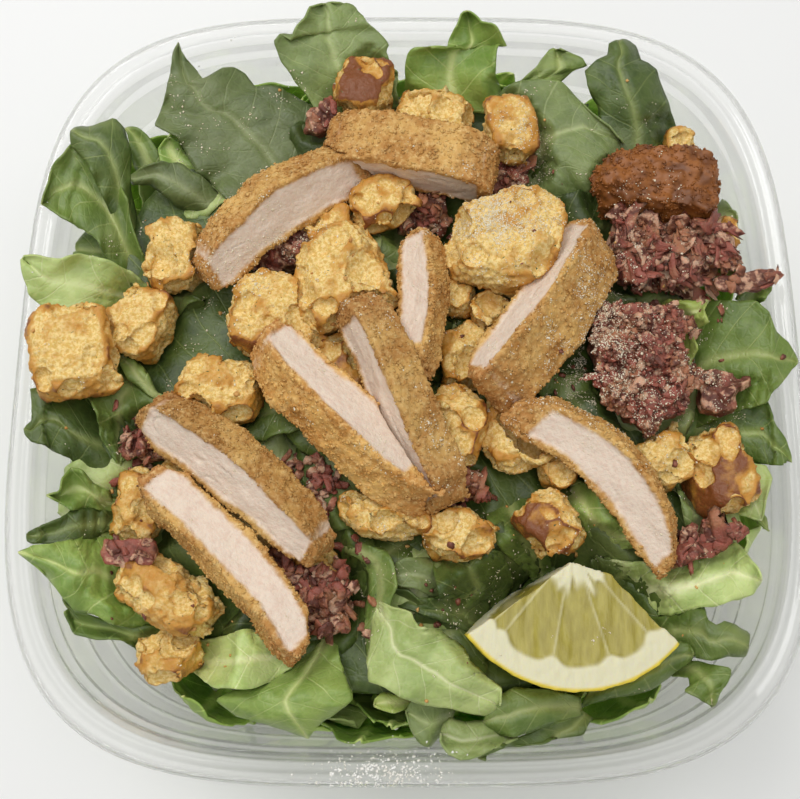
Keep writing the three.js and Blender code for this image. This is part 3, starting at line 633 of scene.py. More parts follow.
@dataclass(frozen=True)
class ChickenFinish(Finish):
    """Cooked meat inside a browned crust."""

    name: str
    crust: Colour
    crust_dark: Colour
    crust_light: Colour
    crust_end: Colour
    fleck: Colour
    meat: Colour
    meat_pink: Colour

    def dress(self, graph: Graph) -> None:
        """Sets up the shader.

        Args:
            graph: the material's nodes.
        """
        place = graph.place()
        cloud = graph.noise(place, 110.0, 6.0, 0.6)
        crumb = graph.noise(place, 800.0, 4.0, 0.7)
        crust = graph.mix(graph.ramp(cloud, 0.36, 0.62), self.crust, self.crust_dark)
        ends = graph.times(graph.attribute("end"), graph.ramp(cloud, 0.66, 0.4))
        crust = graph.mix(graph.times(ends, 0.8), crust, self.crust_end)
        crust = graph.mix(graph.ramp(crumb, 0.44, 0.76, 0.0, 0.8), crust, self.crust_light)
        crust = graph.mix(graph.ramp(crumb, 0.36, 0.22, 0.0, 0.35), crust, self.fleck)
        fibre = graph.add("Mapping", {"Vector": graph.attribute("slice_place", "Vector"), "Scale": (0.6, 1.0, 1.0)})
        streak = graph.noise(fibre.outputs[0], 1.0, 5.0, 0.65)
        meat = graph.mix(graph.ramp(streak, 0.35, 0.85), self.meat, self.meat_pink)
        shift = graph.times(graph.math("SUBTRACT", graph.noise(place, 400.0, 4.0), 0.5), 1.8)
        # The crust's colour is scaled by the slice's light factor: painted light and shade, partly the crust's own
        # tone.
        shown = graph.add("VectorMath", {0: crust}, operation="SCALE")
        graph.tree.links.new(graph.attribute("light"), shown.inputs["Scale"])
        crust = shown.outputs[0]
        inner = graph.ramp(graph.math("ADD", graph.attribute("rind"), shift), 0.9, 2.2)
        graph.join(Base_Color=graph.mix(inner, crust, meat))
        graph.join(Roughness=graph.ramp(inner, 0.0, 1.0, 0.68, 0.48))
        graph.fix(Subsurface_Weight=0.1, Subsurface_Radius=(1.0, 0.6, 0.4), Subsurface_Scale=0.0015)
        fine = graph.math("ADD", crumb, graph.times(streak, 0.5))
        graph.bump(fine, 0.0005, 0.8)


@dataclass(frozen=True)
class BreadFinish(Finish):
    """Toasted bread with herbs."""

    name: str
    crumb: Colour
    crumb_dark: Colour
    toast: Colour
    burnt: Colour
    herb: Colour = srgb(92, 96, 48)

    def dress(self, graph: Graph) -> None:
        """Sets up the shader.

        Args:
            graph: the material's nodes.
        """
        place = graph.place()
        cloud = graph.noise(place, 220.0, 4.0)
        fine = graph.noise(place, 1300.0, 3.0, 0.6)
        crumb = graph.mix(graph.ramp(fine, 0.38, 0.62), self.crumb_dark, self.crumb)
        uneven = graph.times(graph.math("SUBTRACT", cloud, 0.5), 1.3)
        amount = graph.math("ADD", graph.attribute("toast"), uneven)
        toasted = graph.mix(graph.ramp(amount, 0.15, 0.8), crumb, self.toast)
        toasted = graph.mix(graph.ramp(amount, 0.8, 1.3), toasted, self.burnt)
        speck = graph.ramp(graph.noise(place, 950.0, 1.0), 0.73, 0.78)
        colour = graph.mix(speck, toasted, self.herb)
        graph.join(Base_Color=colour)
        graph.join(Roughness=graph.ramp(graph.attribute("toast"), 0.4, 1.0, 0.75, 0.42))
        graph.fix(Subsurface_Weight=0.08, Subsurface_Scale=0.001)
        graph.bump(fine, 0.0004, 0.8)


@dataclass(frozen=True)
class BaconFinish(Finish):
    """Cooked, crumbled bacon."""

    name: str = "bacon"
    lean: Colour = srgb(156, 88, 72)
    tan: Colour = srgb(172, 116, 84)
    brown: Colour = srgb(98, 52, 38)
    fat: Colour = srgb(210, 164, 134)

    def dress(self, graph: Graph) -> None:
        """Sets up the shader.

        Args:
            graph: the material's nodes.
        """
        place = graph.place()
        shift = graph.attribute("bit")
        cloud = graph.math("ADD", graph.noise(place, 300.0, 3.0), graph.times(shift, 0.3))
        colour = graph.mix(graph.ramp(graph.noise(place, 110.0, 2.0), 0.45, 0.62), self.lean, self.tan)
        colour = graph.mix(graph.ramp(cloud, 0.4, 0.72), colour, self.brown)
        streak = graph.math("ADD", graph.noise(place, 420.0, 3.0), graph.times(shift, 0.16))
        colour = graph.mix(graph.ramp(streak, 0.56, 0.7), colour, self.fat)
        graph.join(Base_Color=colour)
        graph.fix(
            Roughness=0.5, Subsurface_Weight=0.35, Subsurface_Radius=(1.0, 0.45, 0.35), Subsurface_Scale=0.0012
        )
        graph.bump(graph.noise(place, 1500.0, 4.0), 0.0005, 0.8)


@dataclass(frozen=True)
class LemonFinish(Finish):
    """Lemon pulp, pith and rind."""

    name: str = "lemon"
    pulp: Colour = srgb(176, 164, 74)
    pulp_dark: Colour = srgb(154, 141, 54)
    pith: Colour = srgb(222, 217, 182)
    rind: Colour = srgb(226, 200, 60)

    def dress(self, graph: Graph) -> None:
        """Sets up the shader.

        Args:
            graph: the material's nodes.
        """
        place = graph.place()
        polar = graph.attribute("polar_place", "Vector")
        vesicle = graph.noise(polar, 1.0, 2.0)
        colour = graph.mix(graph.ramp(vesicle, 0.25, 0.75), self.pulp, self.pulp_dark)
        white = graph.attribute("pith")
        colour = graph.mix(white, colour, self.pith)
        graph.join(Base_Color=graph.mix(graph.attribute("rind"), colour, self.rind))
        graph.join(Roughness=graph.ramp(white, 0.0, 1.0, 0.3, 0.5))
        graph.fix(Subsurface_Weight=0.35, Subsurface_Radius=(1.0, 0.8, 0.3), Subsurface_Scale=0.003)
        pores = graph.noise(place, 900.0, 2.0)
        graph.bump(graph.math("ADD", vesicle, graph.times(pores, 0.3)), 0.0004, 0.5)


@dataclass(frozen=True)
class PlainFinish(Finish):
    """One colour with a slight cloudiness."""

    name: str
    colour: Colour
    other: Colour
    roughness: float = 0.6
    scale: float = 400.0

    def dress(self, graph: Graph) -> None:
        """Sets up the shader.

        Args:
            graph: the material's nodes.
        """
        cloud = graph.noise(graph.place(), self.scale, 3.0)
        graph.join(Base_Color=graph.mix(graph.ramp(cloud, 0.35, 0.65), self.colour, self.other))
        graph.fix(Roughness=self.roughness)


# ---- the bowl


@dataclass
class Bowl:
    """The clear bowl, a rounded square in plan."""

    half_width: float = 90.0
    half_depth: float = 91.5
    squareness: float = 3.8
    rim_height: float = 56.0
    wall: float = 0.7
    steps: int = 144
    corner_spread: float = 0.12
    crisp: float = 35.0
    easing: float = 0.9
    easing_samples: int = 9
    marks: tuple[float, ...] = (-1.7, -1, -0.5, 0, 0.5, 1, 1.7)
    spacing: float = 3.0
    side: tuple[tuple[float, float], ...] = (
        (-20, 0.35), (-15, 0.35), (-12.4, 0.6), (-10.6, 1.6), (-9.6, 3.2), (-8.6, 4.2), (-7.8, 5.6),
        (-6.9, 9), (-6.4, 9.7), (-5.0, 24), (-4.5, 24.7), (-3.4, 38), (-2.9, 38.7), (-1.6, 50), (-0.9, 50.9),
        (-0.4, 54.8), (0.9, 56.6),
    )
    rim: tuple[tuple[float, float], ...] = (
        (2.0, 55.8), (2.5, 56.2), (3.0, 56.9), (4.6, 56.9), (5.2, 56.2), (5.7, 54.4),
    )

    def plan_size(self, points: np.ndarray) -> np.ndarray:
        """How far out points are.

        Args:
            points: n by 3 places in millimetres.

        Returns:
            The turned size of the rounded square through each.
        """
        deep = points[:, 1] * self.half_width / self.half_depth
        n = self.squareness
        return (np.abs(points[:, 0]) ** n + np.abs(deep) ** n) ** (1 / n)

    def inner_size(self, z: np.ndarray) -> np.ndarray:
        """The inside at a height, as a turned size."""
        out, height = np.array(self.side).T
        return self.half_width + np.interp(z, height, out) - self.wall / 2

    def squared(self, points: np.ndarray, squareness: float) -> np.ndarray:
        """Maps a turned shape's points onto the rounded square.

        Args:
            points: n by 3 places in millimetres.
            squareness: 2 for an ellipse and more for a squarer plan.

        Returns:
            The places after it.
        """
        radius = np.hypot(points[:, 0], points[:, 1])
        turn = np.arctan2(points[:, 1], points[:, 0])
        angle = turn + self.corner_spread * np.sin(4 * turn)
        reach = (np.abs(np.cos(angle)) ** squareness + np.abs(np.sin(angle)) ** squareness) ** (-1 / squareness)
        x = radius * reach * np.cos(angle)
        y = radius * reach * np.sin(angle) * self.half_depth / self.half_width
        return np.stack([x, y, points[:, 2]], axis=1)

    def outline(self) -> list[tuple[float, float]]:
        """The line round the wall's section, its bends eased.

        Returns:
            Points from the axis out and back, in millimetres.
        """
        line = [(0.0, self.wall / 2)] + [(self.half_width + out, z) for out, z in (*self.side, *self.rim)]
        points = np.array(line)
        run = np.concatenate([[0], np.cumsum(np.linalg.norm(np.diff(points, axis=0), axis=1))])
        near = [run + self.easing * move for move in self.marks]
        marks = np.concatenate([*near, np.arange(run[1], run[-1], self.spacing)])
        marks = np.unique(np.round(np.clip(marks, 0, run[-1]), 1))
        spread = self.easing * np.linspace(-1, 1, self.easing_samples)
        eased = [np.interp(marks[:, None] + spread, run, column).mean(axis=1) for column in points.T]
        ends = (marks < run[1]) | (marks > run[-1] - self.easing)
        points = np.stack([np.where(ends, np.interp(marks, run, c), e) for c, e in zip(points.T, eased)], axis=1)
        tangent = unit(np.gradient(points, axis=0))
        offset = np.stack([tangent[:, 1], -tangent[:, 0]], axis=1) * self.wall / 2
        outside, inside = points + offset, points - offset
        outside[0], inside[0] = (0, 0), (0, self.wall)
        outside[1, 1], inside[1, 1] = 0, self.wall
        return [tuple(p) for p in (*outside, *inside[::-1])]

    def build(self) -> None:
        """Makes the bowl."""
        mesh = turned(self.outline(), self.steps)
        move_points(mesh, self.squared(points_of(mesh), self.squareness))
        thing = piece("bowl_clear", mesh, ClearPlastic().material(), "clear_plastic")
        mesh.set_sharp_from_angle(angle=math.radians(self.crisp))
        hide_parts("bowl")


def turned(section: list[tuple[float, float]], steps: int) -> Mesh:
    """Turns an open section line from axis to axis round the upright axis.

    Args:
        section: out and up of each point, in millimetres.
        steps: number of steps round.

    Returns:
        A closed mesh.
    """
    shape = bmesh.new()
    verts = [shape.verts.new((out * MM, 0, up * MM)) for out, up in section]
    edges = [shape.edges.new(pair) for pair in zip(verts, verts[1:])]
    bmesh.ops.spin(
        shape, geom=verts + edges, cent=(0, 0, 0), axis=(0, 0, 1), angle=2 * math.pi, steps=steps, use_merge=True
    )
    bmesh.ops.remove_doubles(shape, verts=shape.verts, dist=WELD)
    bmesh.ops.recalc_face_normals(shape, faces=shape.faces)
    return finished(shape, "turned")


# ---- chicken


@dataclass(frozen=True)
class Slice:
    """One slice across a breaded breast: crust up at roll 0, cut face up at roll 90."""

    name: str
    at: tuple[float, float, float]
    turn: float
    roll: float
    pitch: float
    size: tuple[float, float, float]
    bend: float
    hook: float = 0.0
    caps: tuple[float, float] = (2.0, 2.0)
    # Brightness factor of the crust's colour: painted light and shade, partly the crust's own tone.
    light: float = 1.0

    def local(self, points: np.ndarray) -> np.ndarray:
        """Points in the slice's own frame: long axis X, crust at both ends of Z.

        Args:
            points: n by 3 places in millimetres.

        Returns:
            The places in that frame.
        """
        angles = (math.radians(a) for a in (self.roll, self.pitch, self.turn))
        turn = np.array(Euler(tuple(angles), "XYZ").to_matrix())
        return (points - np.array(self.at)) @ turn

    def rind(self, local: np.ndarray, seed: int) -> np.ndarray:
        """Depth below the crust's outside.

        Args:
            local: n by 3 places in the slice's own frame.
            seed: which of the random fields swells it.

        Returns:
            n depths in millimetres.
        """
        length, _, thick = self.size
        share = np.clip(local[:, 0] / (length / 2), -1, 1)
        end = np.sqrt(np.maximum(1 - np.abs(share) ** 5, 0))
        zero = np.zeros_like(share)
        swell = 1 + 0.1 * noise(np.stack([share * 2.2, zero, zero], axis=1), seed) - 0.08 * share
        middle = self.bend * (0.5 - share**2) + self.hook * np.maximum(share - 0.35, 0) ** 2
        half = thick / 2 * (0.4 + 0.6 * end) * swell
        ends = np.minimum(local[:, 0] + length / 2 - self.caps[0], length / 2 - local[:, 0] - self.caps[1])
        return np.minimum(half - np.abs(local[:, 2] - middle), ends + 1.1)


@dataclass
class Chicken:
    """The sliced breaded breast and its dark tip."""

    cell: float = 0.5
    crumbs: int = 1500
    crumb_size: tuple[float, float] = (0.4, 1.1)
    slices: tuple[Slice, ...] = (
        # The light factors of chicken_6, chicken_3 and chicken_4 are painted light and shade, partly the crust's own
        # tone.
        Slice("chicken_1", (-31, 37.5, 62), 37, -40, 3, (51, 11, 12.5), 5, caps=(2, 5)),
        Slice("chicken_7", (2.9, 12.3, 65), -92, -55, -4, (37, 7, 9.8), 1, caps=(1.5, 6)),
        Slice("chicken_6", (-1.8, -12, 67), -65, -27, 5, (53, 10, 11), 3, caps=(5, 2.5), light=0.88),
        Slice("chicken_3", (-14.6, -17, 66), -44, 58, 3, (56, 13, 12), 2.5, caps=(2, 9), light=1.15),
        Slice("chicken_8", (33, 9.5, 65), -125, -43, -3, (49, 16, 11), 2),
        Slice("chicken_2", (0.5, 52, 63), -13, -2, -2, (43, 14.5, 12), 3, caps=(3, 3)),
        Slice("chicken_4", (-39.6, -28.8, 63), -39, -46, -3, (54, 10, 12.3), 2.5, light=0.88),
        Slice("chicken_5", (-41, -48, 61), -46, 74, 2, (54, 10, 11.4), -2, 5, (2, 1.5)),
        Slice("chicken_9", (44, -29, 62), -46, -60, 3, (51, 9, 11.6), 7.5, caps=(7, 2)),
    )
    finish: ChickenFinish = ChickenFinish(
        "breaded_chicken", crust=srgb(216, 171, 96), crust_dark=srgb(182, 127, 58),
        crust_light=srgb(238, 204, 138), crust_end=srgb(172, 108, 48), fleck=srgb(158, 106, 54),
        meat=srgb(234, 216, 196), meat_pink=srgb(222, 192, 172),
    )
    tip_finish: PlainFinish = PlainFinish("dark_crust", srgb(152, 92, 38), srgb(112, 64, 26), 0.5, 260.0)

    def build(self) -> None:
        """Makes every slice and the tip."""
        for i, part in enumerate(self.slices):
            self.build_slice(part, 11 + i)
        self.build_tip()

    def build_slice(self, part: Slice, seed: int) -> None:
        """Makes one slice: crumbs on its crust and fibres on its cut faces.

        Args:
            part: the slice.
            seed: where its chance starts.
        """
        mesh = fine_copy(part.name, self.cell, 6)
        points, normals = points_of(mesh), normals_of(mesh)
        local = part.local(points)
        rind = part.rind(local, seed)
        inner = smoothstep(1.1, 2.0, rind + 0.5 * noise(points / 3, seed + 60))
        crumbs = 0.5 - grains(points / 1.5, seed) + 0.6 * noise(points / 3.2, seed + 61)
        fibres = noise(local / np.array([2.6, 1.1, 1.1]), seed + 62)
        lumps = noise(local / np.array([6.0, 3.0, 3.0]), seed + 63)
        cracks = 1 - smoothstep(0, 0.06, np.abs(noise(local / np.array([9.0, 4.0, 4.0]), seed + 64)))
        cracks *= smoothstep(0.25, 0.5, noise(points / 6, seed + 65))
        meat = 0.09 * fibres + 0.3 * lumps - 0.3 - 0.5 * cracks
        points = points + normals * ((1 - inner) * (0.1 + 0.7 * crumbs) + inner * meat)[:, None]
        move_points(mesh, points)
        random = np.random.default_rng(seed)
        chosen = random.choice(np.flatnonzero(rind < 1.3), self.crumbs)
        with_mesh(mesh, grain_mesh(points[chosen], normals[chosen], self.crumb_size, 0.55, random))
        added = len(mesh.vertices) - len(points)
        add_value(mesh, "rind", np.concatenate([rind, np.zeros(added)]))
        end = smoothstep(0.55, 1.0, np.abs(local[:, 0]) * 2 / part.size[0] + 0.2 * noise(points / 8, seed + 66))
        add_value(mesh, "end", np.concatenate([end, end[chosen].repeat(added // self.crumbs)]))
        # Each point carries its slice's factor of painted light and shade.
        add_value(mesh, "light", np.full(len(mesh.vertices), part.light))
        add_vector(mesh, "slice_place", np.concatenate([local, np.zeros((added, 3))]))
        thing = piece(part.name + "_slice", mesh, self.finish.material(), "breaded_chicken")
        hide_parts(part.name)

    def build_tip(self) -> None:
        """Makes the knobbly tip, crust all over."""
        mesh = fine_copy("chicken_10", self.cell, 5)
        points, normals = points_of(mesh), normals_of(mesh)
        height = 2.6 * (0.45 - grains(points / 4.6, 5)) + 1.2 * (0.5 - grains(points / 2.1, 9))
        height = height + 1.8 * noise(points / 9, 6) - 1.2 * smoothstep(11, 17, np.abs(points[:, 0] - 62))
        points = points + normals * height[:, None]
        move_points(mesh, points)
        random = np.random.default_rng(8)
        chosen = random.choice(len(points), self.crumbs)
        with_mesh(mesh, grain_mesh(points[chosen], normals[chosen], self.crumb_size, 0.8, random))
        thing = piece("chicken_10_tip", mesh, self.tip_finish.material(), "breaded_chicken")
        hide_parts("chicken_10")


# ---- bread


@dataclass(frozen=True)
class Toasting:
    """A crouton's browned side: its direction, how brown, and how narrow."""

    towards: tuple[float, float, float]
    amount: float
    reach: float = 0.4


@dataclass
class Croutons:
    """Torn cubes of toasted bread."""

    count: int = 32
    cell: float = 0.5
    pale: float = 0.2
    bites: int = 8
    bite: tuple[float, float] = (2.6, 6.5)
    bite_depth: tuple[float, float] = (0.8, 2.3)
    finish: BreadFinish = BreadFinish(
        "toasted_bread", srgb(244, 216, 148), srgb(218, 178, 92), srgb(200, 142, 56), srgb(128, 72, 32)
    )
    browned: dict[int, Toasting] = field(
        default_factory=lambda: {
            4: Toasting((0, 0.1, 1), 2.0, 0.6),
            19: Toasting((-0.6, -0.6, 0.6), 1.2, 0.2),
            25: Toasting((0, -0.5, 0.8), 0.55, 0.3),
            17: Toasting((-0.7, -0.5, 0.3), 1.2, 0.1),
            7: Toasting((0, -1, 0.3), 0.9, 0.6),
            1: Toasting((1, -0.4, 0.1), 0.6, 0.3),
            3: Toasting((-0.2, -1, -0.1), 1.2, 0.35),
            5: Toasting((0, -1, 0.1), 1.0, 0.4),
            8: Toasting((1, -0.2, 0.2), 0.9, 0.3),
            24: Toasting((0, 0, 1), 1.0, 0.3),
        }
    )

    def build(self) -> None:
        """Makes every crouton."""
        for number in range(1, self.count + 1):
            self.build_one(number)

    def bitten(
        self, points: np.ndarray, normals: np.ndarray, ridge: np.ndarray, random: np.random.Generator
    ) -> np.ndarray:
        """Hollows a crouton's edges and corners where bread tore away.

        Args:
            points: the crouton's points.
            normals: their normals.
            ridge: how far each point stands out.
            random: the source of chance.

        Returns:
            The points after tearing.
        """
        edges = np.flatnonzero(ridge > np.quantile(ridge, 0.35))
        points = points.copy()
        wide = float(np.ptp(points[:, :2], axis=0).mean())
        for spot in random.choice(edges, self.bites + int(wide)):
            radius = random.uniform(*self.bite)
            middle = points[spot] + normals[spot] * (radius - random.uniform(*self.bite_depth))
            away = points - middle
            reach = np.linalg.norm(away, axis=1)
            uneven = radius * (1 + 0.25 * noise(points / 2.5, int(random.integers(1, 9999))))
            inside = reach < uneven
            points[inside] = middle + away[inside] / reach[inside][:, None] * uneven[inside][:, None]
        return points

    def build_one(self, number: int) -> None:
        """Makes one crouton: pores and crags on torn faces, smoother toasted ones.

        Args:
            number: the crouton's number, for its name and for chance.
        """
        node = f"crouton_{number:02d}"
        mesh = fine_copy(node, self.cell, 4)
        random = np.random.default_rng(900 + number)
        first, normals = points_of(mesh), normals_of(mesh)
        swell = 1.0 * noise(first / 5.0, 650 + number) + 1.1
        first = first + normals * swell[:, None]
        move_points(mesh, first)
        normals = normals_of(mesh)
        ridge = np.sum((first - averaged(mesh, first, 24)) * normals, axis=1)
        turn = random.uniform(0, 2 * math.pi)
        lower = Toasting((math.cos(turn), math.sin(turn) - 0.4, -0.2), 0.8, 0.4)
        points = self.bitten(first, normals, ridge, random)
        deep = np.linalg.norm(points - first, axis=1)
        points = averaged(mesh, points, 1)
        move_points(mesh, points)
        normals = normals_of(mesh)
        toast = self.pale + 0.4 * np.maximum(noise(points / 6, number), 0) + 0.2 * noise(points / 2.5, 200 + number)
        toast = toast + 0.3 * smoothstep(0.2, 0.8, ridge)
        side = self.browned.get(number, lower)
        facing = normals @ (np.array(side.towards) / np.linalg.norm(side.towards))
        toast = np.maximum(toast, side.amount * smoothstep(side.reach, side.reach + 0.35, facing))
        toast = toast * (1 - 0.75 * smoothstep(0.4, 1.6, deep))
        crest = np.sum((points - averaged(mesh, points, 6)) * normals, axis=1)
        toast = toast + 0.35 * smoothstep(0.06, 0.35, crest) + 0.25 * noise(points / 3.5, 680 + number)
        torn = 1 - 0.6 * smoothstep(0.5, 0.95, toast)
        pores = smoothstep(0.42, 0.15, grains(points / 1.7, 300 + number))
        lumps = 0.5 * (0.45 - grains(points / 2.6, 400 + number)) + 0.5 * (0.45 - grains(points / 1.2, 500 + number))
        chips = smoothstep(0.2, 0.7, ridge) * np.maximum(noise(points / 2.0, 600 + number), 0)
        height = torn * (lumps + 0.55 * noise(points / 0.9, 660 + number) - 0.6 * pores - 1.4 * chips)
        move_points(mesh, points + normals * height[:, None])
        toast = toast + 0.15 * pores * torn
        add_value(mesh, "toast", toast)
        thing = piece(node + "_bread", mesh, self.finish.material(), "toasted_bread")
        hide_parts(node)


# ---- bacon


@dataclass(frozen=True)
class Patch:
    """Where small things fell: the middle, how far they spread, and how many."""

    at: tuple[float, float]
    spread: tuple[float, float]
    count: int


@dataclass(frozen=True)
class Cluster:
    """A heap of bacon: how many crumbs, their size, and how many curled strips."""

    node: str
    bits: int
    size: tuple[float, float, float] = (3.6, 2.0, 1.0)
    strips: int = 0


@dataclass
class Bacon:
    """Crumbled bacon, in clusters."""

    cell: float = 0.5
    strip: tuple[float, float, float] = (9.5, 3.6, 0.8)
    finish: BaconFinish = BaconFinish()
    clusters: tuple[Cluster, ...] = (
        Cluster("bacon_1", 900, (2.2, 1.7, 1.3), 14),
        Cluster("bacon_2", 330, (2.6, 1.8, 1.1), 60),
        Cluster("bacon_3", 40, strips=2),
        Cluster("bacon_4", 50, strips=2),
        Cluster("bacon_5", 50, strips=4),
        Cluster("bacon_6", 30, strips=2),
        Cluster("bacon_7", 8),
        Cluster("bacon_8", 60, strips=6),
        Cluster("bacon_9", 30, strips=3),
        Cluster("bacon_10", 30, strips=2),
        Cluster("bacon_11", 30, strips=2),
        Cluster("bacon_12", 20, strips=2),
        Cluster("bacon_13", 6),
        Cluster("bacon_14", 0),
        Cluster("bacon_15", 6),
    )

    loose: tuple[Patch, ...] = (
        Patch((-28, -35), (12, 16), 90),
        Patch((-24, -46), (14, 10), 60),
        Patch((-64, -19), (10, 9), 40),
        Patch((-22, -27), (8, 10), 30),
        Patch((10, -30), (10, 6), 24),
        Patch((-18, -56), (12, 8), 30),
        Patch((60, 0), (14, 30), 50),
        Patch((2, 40), (14, 6), 30),
    )
    loose_bit: tuple[float, float, float] = (3.4, 2.2, 0.9)
    loose_tip: tuple[float, float] = (0.7, 0.5)
    loose_lift: float = 0.6
    heap_tip: tuple[float, float] = (0.8, 0.6)
    sunk: tuple[float, float] = (-0.6, 0.5)
    clear: tuple[str, ...] = ("bowl", "floor", "lemon", "chicken", "crouton")

    def build(self) -> None:
        """Makes every cluster."""
        for number, cluster in enumerate(self.clusters):
            self.build_cluster(cluster, 700 + number)

    def scatter(self) -> None:
        """Drops loose bits into the gaps between the other toppings, as one joined piece."""
        random = np.random.default_rng(790)
        shape = bmesh.new()
        values = []
        for patch in self.loose:
            spots = random.normal(0, 0.5, (patch.count, 2)) * np.array(patch.spread) + np.array(patch.at)
            for place, normal in dropped(spots, self.clear):
                bit = self.bit(random, self.loose_bit)
                spin = self.spin(random, *self.loose_tip)
                values.append(self.lay(shape, bit, spin, place + normal * self.loose_lift, random))
        mesh = finished(shape, "loose")
        add_value(mesh, "bit", np.concatenate(values))
        piece("bacon_loose", mesh, self.finish.material(), "bacon")

    def build_cluster(self, cluster: Cluster, seed: int) -> None:
        """Makes one cluster: a craggy base with torn bits lying all over its top.

        Args:
            cluster: the cluster.
            seed: where its chance starts.
        """
        mesh = fine_copy(cluster.node, self.cell, 2)
        points, normals = points_of(mesh), normals_of(mesh)
        height = 0.5 * noise(points / 2.2, seed) + 0.7 * (0.45 - grains(points / 2.8, seed + 1))
        base = points + normals * height[:, None]
        move_points(mesh, base)
        shape = bmesh.new()
        shape.from_mesh(mesh)
        random = np.random.default_rng(seed)
        tops = np.flatnonzero(normals[:, 2] > 0.15)
        values = [random.uniform(0, 1, 1) * np.ones(len(points))]
        for number in range(cluster.bits + cluster.strips):
            spot = random.choice(tops)
            bit = self.bit(random, cluster.size if number < cluster.bits else self.strip)
            spin = self.spin(random, *self.heap_tip)
            place = base[spot] + normals[spot] * random.uniform(*self.sunk)
            values.append(self.lay(shape, bit, spin, place, random))
        shape.to_mesh(mesh)
        shape.free()
        add_value(mesh, "bit", np.concatenate(values))
        thing = piece(cluster.node + "_bits", mesh, self.finish.material(), "bacon")
        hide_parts(cluster.node)

    @staticmethod
    def spin(random: np.random.Generator, roll: float, pitch: float) -> Matrix:
        """A random turn, tipped by no more than a roll and a pitch in radians."""
        angles = (random.uniform(-roll, roll), random.uniform(-pitch, pitch), random.uniform(0, 6.3))
        return Euler(angles, "XYZ").to_matrix().to_4x4()

    @staticmethod
    def lay(
        shape: bmesh.types.BMesh, bit: Mesh, spin: Matrix, place: np.ndarray, random: np.random.Generator
    ) -> np.ndarray:
        """Adds a bit to a shape.

        Args:
            shape: the shape that the bit joins.
            bit: the bit's mesh, used up.
            spin: how it is turned.
            place: where its middle lies.
            random: the source of chance.

        Returns:
            The bit's shade, once for each of its points.
        """
        bit.transform(spin)
        move_points(bit, points_of(bit) + place)
        shade = random.uniform(-1, 1) * np.ones(len(bit.vertices))
        shape.from_mesh(bit)
        bpy.data.meshes.remove(bit)
        return shade

    @staticmethod
    def bit(random: np.random.Generator, size: tuple[float, float, float]) -> Mesh:
        """One torn, curled bit of bacon round the origin.

        Args:
            random: the source of chance.
            size: usual length, width and thickness.

        Returns:
            The bit's mesh.
        """
        shape = bmesh.new()
        bmesh.ops.create_cube(shape, size=2)
        bmesh.ops.subdivide_edges(shape, edges=shape.edges, cuts=2, use_grid_fill=True)
        mesh = finished(shape, "bit")
        points = points_of(mesh) * MM
        points /= (np.sum(np.abs(points) ** 3, axis=1) ** (1 / 3))[:, None]
        half = np.array(size) / 2 * random.uniform(0.55, 1.25, 3)
        wobble = 1 + 0.5 * noise(points * 1.4, int(random.integers(1, 9999)))
        wobble += 0.3 * noise(points * 3.1, int(random.integers(1, 9999)))
        points = points * half * wobble[:, None]
        curl = random.uniform(-1, 1, 3) * (4.5 / size[0], 0.5, 1.0)
        points[:, 2] += curl[0] * np.sin(points[:, 0] * 0.8 + curl[2] * 3) * size[0] / 5
        points[:, 2] += curl[1] * points[:, 1] ** 2 * 0.4
        points[:, 1] += 0.12 * size[0] * np.sin(points[:, 0] * 0.6 + curl[2] * 5) - 0.06 * size[0]
        move_points(mesh, points)
        return mesh


# ---- the lemon


@dataclass
class Lemon:
    """A wedge of lemon, its cross cut facing up."""

    at: tuple[float, float, float] = (37, -46, 64)
    pitch: float = 5.0
    radius: float = 31.5
    depth: float = 27.0
    rounding: float = 0.86
    rind: float = 0.9
    pith: float = 5.4
    core: float = 8.5
    membranes: tuple[float, ...] = (221.0, 229.0, 257.0, 287.0, 311.0)
    cell: float = 0.4
    finish: LemonFinish = LemonFinish()

    def build(self) -> None:
        """Makes the wedge."""
        mesh = fine_copy("lemon_wedge", self.cell, 3)
        points, normals = points_of(mesh), normals_of(mesh)
        turn = np.array(Euler((0, math.radians(self.pitch), 0), "XYZ").to_matrix())
        local = (points - np.array(self.at)) @ turn
        radius = np.hypot(local[:, 0], local[:, 1])
        angle = np.degrees(np.arctan2(local[:, 1], local[:, 0])) % 360
        share = np.clip(-local[:, 2] / self.depth, 0, 1)
        size = self.radius * np.sqrt(1 - (share * self.rounding) ** 2)
        wobble = noise(points / 5, 3)
        deep = size - radius
        rind = 1 - smoothstep(self.rind - 0.3, self.rind + 0.3, deep)
        gaps = [np.abs(radius * np.sin(np.radians(angle - limit))) for limit in self.membranes]
        gap = np.min(gaps, axis=0)
        edge = self.pith + 1.7 * np.exp(-((gap / 2.0) ** 2))
        pith = 1 - smoothstep(edge - 0.7, edge + 0.5, deep + 0.5 * wobble)
        pith = np.maximum(pith, 0.35 * (1 - smoothstep(0.1, 0.45, gap)))
        strands = noise(np.stack([radius / 6, np.radians(angle) * 9, 0 * angle], axis=1), 19)
        pith = np.maximum(pith, 1 - smoothstep(self.core - 1.5, self.core + 1.0, radius + 3.0 * strands))
        polar = np.stack([radius / 5.5, np.radians(angle - 268) * radius / 1.9, local[:, 2] / 2.2], axis=1)
        pulp = (1 - pith) * (1 - rind)
        height = pulp * (0.3 * noise(polar, 17) - 0.45) + 0.15 * (1 - pulp) * noise(points / 1.5, 4)
        height = height - 0.5 * (radius < self.core) * np.abs(strands)
        move_points(mesh, points + normals * height[:, None])
        add_value(mesh, "rind", rind)
        add_value(mesh, "pith", np.clip(pith, 0, 1))
        add_vector(mesh, "polar_place", polar)
        thing = piece("lemon_wedge_cut", mesh, self.finish.material(), "lemon")
        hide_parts("lemon_wedge")


# ---- lettuce


